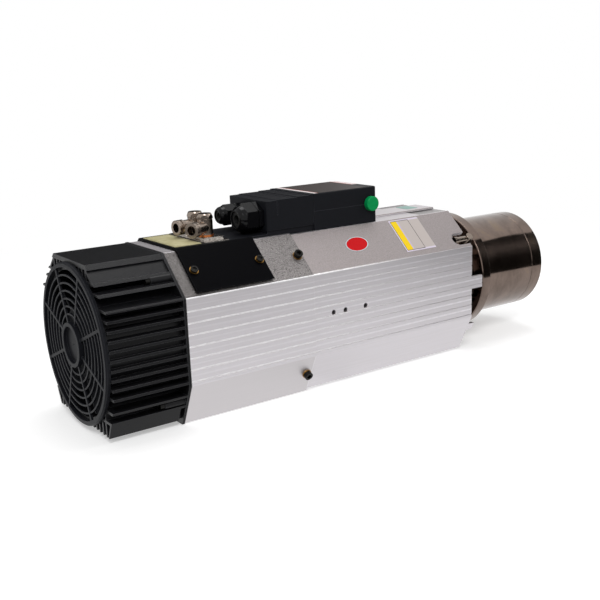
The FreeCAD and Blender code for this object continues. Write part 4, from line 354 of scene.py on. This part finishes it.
def dark_sheet_print():
    """Dark printed sheet on the box's lid, left blank: a pale stripe with a thin red edge along its rear end
    and along the far half of its front end."""
    material, tree, shader, place = blank("dark_sheet_print", Roughness=0.5, Specular_IOR_Level=0.15)
    spot = add(tree, "ShaderNodeUVMap", uv_map="millimetres").outputs["UV"]
    spot = add(tree, "ShaderNodeSeparateXYZ", {"Vector": spot}).outputs
    share = {"Value": spot["X"], "From Min": -LID_SHEET_LENGTH / 2, "From Max": LID_SHEET_LENGTH / 2}
    share = add(tree, "ShaderNodeMapRange", share).outputs["Result"]
    red, pale, dark = "#C4655C", "#E4DEDD", "#3A3432"
    stripes = [(0.0, pale), (0.05, red), (0.062, dark), (0.91, red), (0.922, pale), (0.985, red)]
    stripes = add(tree, "ShaderNodeValToRGB", {"Fac": share}, stripes)
    stripes.color_ramp.interpolation = "CONSTANT"
    mottle = {"Vector": place, "Scale": 1 / (2.5 * MM), "Detail": 3.0}
    mottle = add(tree, "ShaderNodeTexNoise", mottle).outputs["Fac"]
    mottle = {"Value": mottle, "To Min": 0.8, "To Max": 1.15}
    mottle = add(tree, "ShaderNodeMapRange", mottle).outputs["Result"]
    front = add(tree, "ShaderNodeMath", {0: share, 1: 0.85}, operation="GREATER_THAN").outputs[0]
    near = add(tree, "ShaderNodeMath", {0: spot["Y"], 1: -5.0}, operation="LESS_THAN").outputs[0]
    near_front = add(tree, "ShaderNodeMath", {0: front, 1: near}, operation="MULTIPLY").outputs[0]
    base = {0: near_front, 6: stripes.outputs["Color"], 7: "#141315"}
    base = {0: 1.0, 6: add(tree, "ShaderNodeMix", base, data_type="RGBA").outputs[2], 7: mottle}
    base = add(tree, "ShaderNodeMix", base, data_type="RGBA", blend_type="MULTIPLY").outputs[2]
    connect(tree, shader, Base_Color=base)
    return material


def foil_label_print():
    """Pale foil label, left blank: a yellow band at its rear end, thin dark frame lines and a pale rim."""
    material, tree, shader, place = blank("foil_label_print", Roughness=0.38, Specular_IOR_Level=0.25)
    spot = add(tree, "ShaderNodeUVMap", uv_map="millimetres").outputs["UV"]
    spot = add(tree, "ShaderNodeSeparateXYZ", {"Vector": spot}).outputs
    across = {"Value": spot["X"], "From Min": -LABEL_LENGTH / 2, "From Max": LABEL_LENGTH / 2}
    across = add(tree, "ShaderNodeMapRange", across).outputs["Result"]
    upward = {"Value": spot["Y"], "From Min": -LABEL_WIDTH / 2, "From Max": LABEL_WIDTH / 2}
    upward = add(tree, "ShaderNodeMapRange", upward).outputs["Result"]
    rim, line, yellow, lilac, foil = "#CBC2D0", "#3B383A", "#E8C60A", "#B9AFC0", "#B4ABA7"
    bands = [(0.0, rim), (0.035, line), (0.05, yellow), (0.235, lilac), (0.29, foil), (0.63, line),
             (0.645, foil)]
    bands = add(tree, "ShaderNodeValToRGB", {"Fac": across}, bands)
    bands.color_ramp.interpolation = "CONSTANT"
    # 0 on the rim, 0.5 on the frame lines along the label's two sides and 1 between them
    zones = [(0.0, 0), (0.032, 0.5), (0.047, 1), (0.953, 0.5), (0.968, 0)]
    zones = add(tree, "ShaderNodeValToRGB", {"Fac": upward}, zones)
    zones.color_ramp.interpolation = "CONSTANT"
    zone = zones.outputs["Color"]
    inside = add(tree, "ShaderNodeMath", {0: zone, 1: 0.75}, operation="GREATER_THAN").outputs[0]
    on_line = add(tree, "ShaderNodeMath", {0: zone, 1: 0.5, 2: 0.2}, operation="COMPARE").outputs[0]
    framed = add(tree, "ShaderNodeMath", {0: across, 1: 0.34, 2: 0.305}, operation="COMPARE").outputs[0]
    on_line = add(tree, "ShaderNodeMath", {0: on_line, 1: framed}, operation="MULTIPLY").outputs[0]
    base = {0: inside, 6: rim, 7: bands.outputs["Color"]}
    base = {0: on_line, 6: add(tree, "ShaderNodeMix", base, data_type="RGBA").outputs[2], 7: line}
    base = add(tree, "ShaderNodeMix", base, data_type="RGBA").outputs[2]
    wavy = {"Vector": place, "Scale": 1 / (7 * MM), "Detail": 2.0}
    wavy = add(tree, "ShaderNodeTexNoise", wavy).outputs["Fac"]
    relief = {"Height": wavy, "Strength": 0.1, "Distance": 0.2 * MM}
    relief = add(tree, "ShaderNodeBump", relief).outputs["Normal"]
    connect(tree, shader, Base_Color=base, Normal=relief)
    return material


def red_vinyl_print():
    """Red vinyl oval, left blank, with a thin pale rim."""
    material, tree, shader, place = blank("red_vinyl_print", Roughness=0.35, Specular_IOR_Level=0.15)
    spot = add(tree, "ShaderNodeUVMap", uv_map="millimetres").outputs["UV"]
    spot = {"Vector": spot, "Rotation": (0, 0, OVAL_TURN), "Scale": (OVAL_LENGTH / 2, OVAL_WIDTH / 2, 1)}
    spot = add(tree, "ShaderNodeMapping", spot, vector_type="TEXTURE").outputs["Vector"]
    share = add(tree, "ShaderNodeVectorMath", {0: spot}, operation="LENGTH").outputs["Value"]
    rings = add(tree, "ShaderNodeValToRGB", {"Fac": share}, [(0.0, "#C0000C"), (0.925, "#B9CDD2")])
    rings.color_ramp.interpolation = "CONSTANT"
    faded = {"Vector": place, "Scale": 1 / (5 * MM), "Detail": 2.0}
    faded = add(tree, "ShaderNodeTexNoise", faded).outputs["Fac"]
    faded = {"Value": faded, "To Min": 0.92, "To Max": 1.05}
    faded = add(tree, "ShaderNodeMapRange", faded).outputs["Result"]
    base = {0: 1.0, 6: rings.outputs["Color"], 7: faded}
    base = add(tree, "ShaderNodeMix", base, data_type="RGBA", blend_type="MULTIPLY").outputs[2]
    connect(tree, shader, Base_Color=base)
    return material


finishes = {
    "extrusion": anodised_extrusion(),
    # Turned and cast aluminium inside the body: dull grey with a faint grain
    "turned_aluminium": even_finish("turned_aluminium", "#A3A09F", 0.4, "#878483", grain_mm=0.8,
                                    Metallic=1.0, edge_mm=0.3),
    # Powder coat on the cowl's casting: fine orange peel, with a painted highlight along the rib edges
    "powder_coat": even_finish("black_powder_coat", "#131315", 0.32, grain_mm=0.7, bump=0.35, edge_mm=0.5,
                               edge="#4A4A4D", Specular_IOR_Level=0.18),
    # Satin paint on bent sheet: even and very dark, with a painted highlight along its edges
    "cover_paint": even_finish("satin_black_paint", "#050507", 0.36, grain_mm=1.2, bump=0.06, edge_mm=0.5,
                               edge="#2A2A2D", Specular_IOR_Level=0.02),
    # Spark-eroded mould texture on glass-filled nylon: matt, with a painted highlight along its edges
    "nylon": even_finish("black_glass_filled_nylon", "#141519", 0.45, grain_mm=0.9, bump=0.12, edge_mm=0.6,
                         edge="#36373C", Specular_IOR_Level=0.1),
    # Polished mould on the glands: glossy, with small sharp lights on the domes
    "gland_nylon": even_finish("glossy_black_nylon", "#08080A", 0.13, grain_mm=2.0, bump=0.02, spread=0.03,
                               edge_mm=0.6, Specular_IOR_Level=0.18),
    # Polished mould, coloured through: even, with a faint haze
    "green_plastic": even_finish("green_polyamide", "#008C4B", 0.38, "#008445", grain_mm=1.5, bump=0.05,
                                 edge_mm=0.4, Specular_IOR_Level=0.12),
    # Black oxide on socket screws: thin and slightly oily
    "black_oxide": even_finish("black_oxide_screw", "#141311", 0.3, grain_mm=0.4, Metallic=0.7, edge_mm=0.2),
    # Satin nickel on turned brass: warm grey, brighter on edges
    "nickel": even_finish("nickel_plated_brass", "#968A80", 0.2, "#8A7E74", grain_mm=1.0, bump=0.04,
                          Metallic=1.0, edge_mm=0.35),
    # Stamped soft copper: warm, with small dents
    "copper": even_finish("copper_seal", "#C0703A", 0.3, grain_mm=1.0, bump=0.05, Metallic=1.0),
    # Stamped steel, zinc plated and passivated yellow
    "brass": even_finish("yellow_zinc_washer", "#94703C", 0.3, grain_mm=1.0, bump=0.05, Metallic=1.0),
    # Milled and polished aluminium block: bright with streaks
    "polished": even_finish("polished_aluminium", "#D4CFCA", 0.18, "#9C958E", grain_mm=2.4, bump=0.1,
                            Metallic=1.0, edge_mm=0.4),
    # Ground steel: smooth and neutral
    "ground_steel": even_finish("ground_steel", "#B4B4B6", 0.24, "#9A9A9C", grain_mm=0.8, bump=0.05,
                                Metallic=1.0, edge_mm=0.3),
    # Moulded rubber: matt with a soft grain
    "rubber": even_finish("nitrile_rubber", "#121212", 0.6, grain_mm=0.8, bump=0.2, Specular_IOR_Level=0.3),
    # Varnish over wound copper wire: uneven and brown
    "winding": even_finish("varnished_copper", "#8A4A24", 0.35, "#6B3518", grain_mm=1.0, bump=0.4,
                           Metallic=0.7),
    # Stacked punched sheet, turned: dark and slightly rough
    "lamination": even_finish("laminated_sheet", "#6A6A6E", 0.4, "#56565A", grain_mm=0.5, bump=0.2,
                              Metallic=0.9),
    # Printed vinyl: flat colour, slightly faded in patches
    "teal_vinyl": even_finish("teal_vinyl", "#76A097", 0.4, "#6C968D", grain_mm=2.0, bump=0.03),
    "foil": gold_foil_plate(),
    "browned": browned_steel(),
}

worn_by = {
    "extrusion": ["front_sleeve", "rear_sleeve", "top_strip"],
    "turned_aluminium": ["motor_housing", "rear_bearing_housing", "clamp_cylinder", "cylinder_cover",
                         "clamp_piston"],
    "powder_coat": ["fan_cowl"],
    "cover_paint": ["cover_plate"],
    "nylon": ["fan_guard", "fan_motor", "fan_impeller", "connector_hood", "connector_base_plate",
              "terminal_box_base", "terminal_box_lid", "plug_insert", "terminal_block", "position_sensors"],
    "gland_nylon": ["gland_bodies", "gland_nuts"],
    "rubber": ["gland_seals", "piston_seal"],
    "green_plastic": ["port_plug"],
    "black_oxide": ["sleeve_screws", "cover_screws", "cowl_screws", "box_screws", "nose_cap_screws",
                    "shaft_lock_nuts", "disc_springs"],
    "nickel": ["banjo_bolts", "left_elbow", "right_elbow", "left_release_collet", "right_release_collet",
               "purge_fitting"],
    "copper": ["banjo_washers"],
    "brass": ["screw_washers"],
    "polished": ["air_block"],
    "ground_steel": ["shaft", "drive_keys", "drawbar", "gripper_jaw_1", "gripper_jaw_2", "gripper_jaw_3",
                     "gripper_jaw_4", "front_bearing_inner_rings", "front_bearing_cages",
                     "front_bearing_outer_rings", "rear_bearing_inner_rings", "rear_bearing_cages",
                     "rear_bearing_outer_rings"],
    "winding": ["stator_windings"],
    "lamination": ["stator_core", "rotor_core"],
    "foil": ["rating_plate"],
    "browned": ["nose_housing", "nose_cap"],
}

for finish_name, names in worn_by.items():
    for name in names:
        slots = nodes[name].data.materials
        slots.clear()
        slots.append(finishes[finish_name])


# ---- Stickers and labels -----------------------------------------------------------------------------------
def stuck_on(name, sheet, middle, along, up, material):
    """Give a flat sheet drawn in millimetres about its middle its thickness and its place on the body."""
    layer = sheet.loops.layers.uv.new("millimetres")
    for face in sheet.faces:
        for loop in face.loops:
            loop[layer].uv = loop.vert.co.xy
    bmesh.ops.recalc_face_normals(sheet, faces=sheet.faces)
    if sheet.faces[0].normal.z < 0:
        bmesh.ops.reverse_faces(sheet, faces=sheet.faces)
    raised = bmesh.ops.extrude_face_region(sheet, geom=sheet.faces[:], use_keep_orig=True)
    lifted = [part for part in raised["geom"] if isinstance(part, bmesh.types.BMVert)]
    bmesh.ops.translate(sheet, verts=lifted, vec=(0, 0, SHEET_THICKNESS))
    bmesh.ops.recalc_face_normals(sheet, faces=sheet.faces)
    turn = Matrix((along, up, along.cross(up))).transposed().to_4x4()
    placed = Matrix.Translation(middle) @ turn @ Matrix.Scale(MM, 4)
    bmesh.ops.transform(sheet, matrix=placed, verts=sheet.verts)
    mesh = bpy.data.meshes.new(name)
    sheet.to_mesh(mesh)
    sheet.free()
    mesh.materials.append(material)
    piece = bpy.data.objects.new(name, mesh)
    bpy.context.scene.collection.objects.link(piece)
    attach(piece, "housing")


def rectangle(width, height, corner):
    sheet = bmesh.new()
    bmesh.ops.create_grid(sheet, x_segments=1, y_segments=1, size=0.5)
    bmesh.ops.scale(sheet, vec=(width, height, 1), verts=sheet.verts)
    bmesh.ops.bevel(sheet, geom=sheet.verts[:], offset=corner, segments=4, profile=0.5, affect="VERTICES",
                    material=-1)
    return sheet


def oval(length, width, turn):
    sheet = bmesh.new()
    bmesh.ops.create_circle(sheet, cap_ends=True, segments=64, radius=0.5)
    bmesh.ops.scale(sheet, vec=(length, width, 1), verts=sheet.verts)
    bmesh.ops.rotate(sheet, matrix=Matrix.Rotation(turn, 3, "Z"), verts=sheet.verts)
    return sheet


def on_chamfer(along_mm, downhill_mm):
    """A point just off the front sleeve's near chamfer: so far from the rear sleeve's rear end and so far
    from the chamfer's top edge."""
    start = Vector((rear_end_x + along_mm * MM, CHAMFER_TOP.y, CHAMFER_TOP.z))
    return start + CHAMFER_DOWN * downhill_mm * MM + CHAMFER_OUT * SHEET_GAP * MM


FORWARD = Vector((1, 0, 0))
SIDEWAYS = Vector((0, 1, 0))
UPHILL = -CHAMFER_DOWN
stuck_on("red_oval", oval(OVAL_LENGTH, OVAL_WIDTH, OVAL_TURN), on_chamfer(*OVAL_PLACE), FORWARD, UPHILL,
         red_vinyl_print())
stuck_on("foil_label", rectangle(LABEL_LENGTH, LABEL_WIDTH, LABEL_CORNER), on_chamfer(*LABEL_PLACE),
         FORWARD, UPHILL, foil_label_print())
teal_middle = Vector((rear_end_x + TEAL_PLACE[0] * MM, TEAL_PLACE[1] * MM, strip_top_z + SHEET_GAP * MM))
stuck_on("teal_sticker", rectangle(TEAL_LENGTH, TEAL_WIDTH, TEAL_CORNER), teal_middle, FORWARD, SIDEWAYS,
         finishes["teal_vinyl"])
lid_middle = Vector(((lid_low.x + lid_high.x) / 2, 0, lid_high.z + SHEET_GAP * MM))
stuck_on("lid_sheet", rectangle(LID_SHEET_LENGTH, LID_SHEET_WIDTH, LID_SHEET_CORNER), lid_middle,
         FORWARD, SIDEWAYS, dark_sheet_print())


# ---- Studio ------------------------------------------------------------------------------------------------
CAMERA_AZIMUTH = math.radians(-34.23)
CAMERA_ELEVATION = math.radians(13.91)
CAMERA_ROLL = math.radians(-2.19)
CAMERA_DISTANCE = 864.02 * MM
CAMERA_LENS = 53.69
CAMERA_SENSOR = 36
AIM_AHEAD = 23.7 * MM      # of the sleeves' seam, on the spindle's axis
AIM_RIGHT = 6.7 * MM
AIM_UP = 0.12 * MM

FILL = 0.40                # of the white world, where it lights the object
FLOOR_GLOW = 0.4
FADE_START = 0.4           # in metres from the origin, where the floor's shadows begin to fade
FADE_END = 0.9             # and where they are gone
CARD_X = cad_high.x + 125 * MM

# Name, middle, facing, width and height
CARDS = [
    ("side_card", (CARD_X, -0.245, 0.203), (-0.57, 0.82, 0), 0.36, 0.38),
    ("far_card", (0.05, 0.8, 0.4), (0, -1, 0), 1.1, 0.85),
    ("table_edge", (0, -1.0, cad_low.z + 1 * MM), (0, 0, 1), 3.2, 1.2),
]
# Name, place, target, size and power in watts
LAMPS = [
    ("key", (-0.9, -1.4, 1.5), (0, 0, 0.07), (0.6, 0.6), 20),
    ("top", (0.2, 0.3, 1.9), (0, 0, 0.07), (1.2, 0.9), 13),
    ("nose_side", (1.4, -0.9, 0.8), (0.1, 0, 0.07), (0.5, 0.5), 5),
]


def view_camera():
    """Camera to the rear left of the spindle, slightly above it."""
    level_part = math.cos(CAMERA_ELEVATION)
    away = Vector((math.sin(CAMERA_AZIMUTH) * level_part, -math.cos(CAMERA_AZIMUTH) * level_part,
                   math.sin(CAMERA_ELEVATION)))
    level = Vector((math.cos(CAMERA_AZIMUTH), math.sin(CAMERA_AZIMUTH), 0))
    upright = away.cross(level)
    right = level * math.cos(CAMERA_ROLL) + upright * math.sin(CAMERA_ROLL)
    up = away.cross(right)
    target = Vector((seam_x, 0, AXIS.z)) + Vector((AIM_AHEAD, 0, 0)) + right * AIM_RIGHT + up * AIM_UP
    camera = bpy.data.cameras.new("view")
    camera.sensor_width = CAMERA_SENSOR
    camera.lens = CAMERA_LENS
    holder = bpy.data.objects.new("view", camera)
    bpy.context.scene.collection.objects.link(holder)
    turn = Matrix((right, up, away)).transposed()
    holder.matrix_world = Matrix.Translation(target + away * CAMERA_DISTANCE) @ turn.to_4x4()
    bpy.context.scene.camera = holder


def lamp(name, place, target, size, power):
    """Rectangular soft box at a place, turned towards a target."""
    light = bpy.data.lights.new(name, "AREA")
    light.shape = "RECTANGLE"
    light.size, light.size_y = size
    light.energy = power
    holder = bpy.data.objects.new(name, light)
    bpy.context.scene.collection.objects.link(holder)
    holder.location = place
    holder.rotation_mode = "QUATERNION"
    holder.rotation_quaternion = (Vector(place) - Vector(target)).to_track_quat("Z", "Y")


def seen_rays(tree):
    """Where a reflection or glass looks, and where the camera looks too. Light that only spreads is 0 in
    both."""
    rays = add(tree, "ShaderNodeLightPath").outputs
    shown = {0: rays["Is Glossy Ray"], 1: rays["Is Transmission Ray"]}
    shown = add(tree, "ShaderNodeMath", shown, operation="MAXIMUM").outputs[0]
    seen = {0: rays["Is Camera Ray"], 1: shown}
    seen = add(tree, "ShaderNodeMath", seen, operation="MAXIMUM").outputs[0]
    return shown, seen


def studio_world():
    """White where it is seen, a softer fill where it lights the object."""
    world = bpy.data.worlds.new("studio")
    world.use_nodes = True
    bpy.context.scene.world = world
    tree = world.node_tree
    tree.nodes.clear()
    fill = add(tree, "ShaderNodeBackground", {"Color": grey(1.0), "Strength": FILL})
    white = add(tree, "ShaderNodeBackground", {"Color": grey(1.0), "Strength": 1.0})
    seen = seen_rays(tree)[1]
    mix = add(tree, "ShaderNodeMixShader", {0: seen, 1: fill.outputs[0], 2: white.outputs[0]})
    add(tree, "ShaderNodeOutputWorld", {"Surface": mix.outputs[0]})


def stand(name, sheet, material):
    """Put a sheet of the studio in the scene; it isn't part of the object."""
    mesh = bpy.data.meshes.new(name)
    sheet.to_mesh(mesh)
    sheet.free()
    mesh.materials.append(material)
    board = bpy.data.objects.new(name, mesh)
    bpy.context.scene.collection.objects.link(board)
    return board


def floor():
    """Pale floor: it keeps the object's shadow near it and turns plain white further out."""
    sheet = bmesh.new()
    bmesh.ops.create_grid(sheet, x_segments=1, y_segments=1, size=6.0)
    bmesh.ops.translate(sheet, verts=sheet.verts, vec=(0, 0, cad_low.z - 0.5 * MM))
    material, tree, shader, place = blank("white_sweep", Base_Color=grey(0.8), Roughness=0.9,
                                          Specular_IOR_Level=0.0)
    out = next(node for node in tree.nodes if node.type == "OUTPUT_MATERIAL")
    glow = add(tree, "ShaderNodeEmission", {"Color": grey(1.0), "Strength": FLOOR_GLOW})
    near = add(tree, "ShaderNodeAddShader", {0: shader.outputs[0], 1: glow.outputs[0]})
    white = add(tree, "ShaderNodeEmission", {"Color": grey(1.0), "Strength": 1.0})
    reach = add(tree, "ShaderNodeVectorMath", {0: place}, operation="LENGTH").outputs["Value"]
    fade = {"Value": reach, "From Min": FADE_START, "From Max": FADE_END}
    fade = add(tree, "ShaderNodeMapRange", fade, interpolation_type="SMOOTHSTEP").outputs["Result"]
    shown, seen = seen_rays(tree)
    far = add(tree, "ShaderNodeMath", {0: fade, 1: shown}, operation="MAXIMUM").outputs[0]
    sweep = add(tree, "ShaderNodeMixShader", {0: far, 1: near.outputs[0], 2: white.outputs[0]})
    mix = add(tree, "ShaderNodeMixShader", {0: seen, 1: shader.outputs[0], 2: sweep.outputs[0]})
    tree.links.new(mix.outputs[0], out.inputs["Surface"])
    stand("floor", sheet, material)


def dark_card(name, middle, facing, width, height):
    """Black card that only reflections see, to give round metal its dark band."""
    sheet = bmesh.new()
    bmesh.ops.create_grid(sheet, x_segments=1, y_segments=1, size=0.5)
    bmesh.ops.scale(sheet, vec=(width, height, 1), verts=sheet.verts)
    turn = Vector(facing).to_track_quat("Z", "Y").to_matrix().to_4x4()
    bmesh.ops.transform(sheet, matrix=Matrix.Translation(middle) @ turn, verts=sheet.verts)
    material = blank("black_card", Base_Color=grey(0.04), Roughness=1.0, Specular_IOR_Level=0.0)[0]
    card = stand(name, sheet, material)
    card.visible_camera = card.visible_diffuse = card.visible_shadow = False


view_camera()
studio_world()
floor()
for card_values in CARDS:
    dark_card(*card_values)
for lamp_values in LAMPS:
    lamp(*lamp_values)

bpy.context.scene.view_settings.view_transform = "Standard"
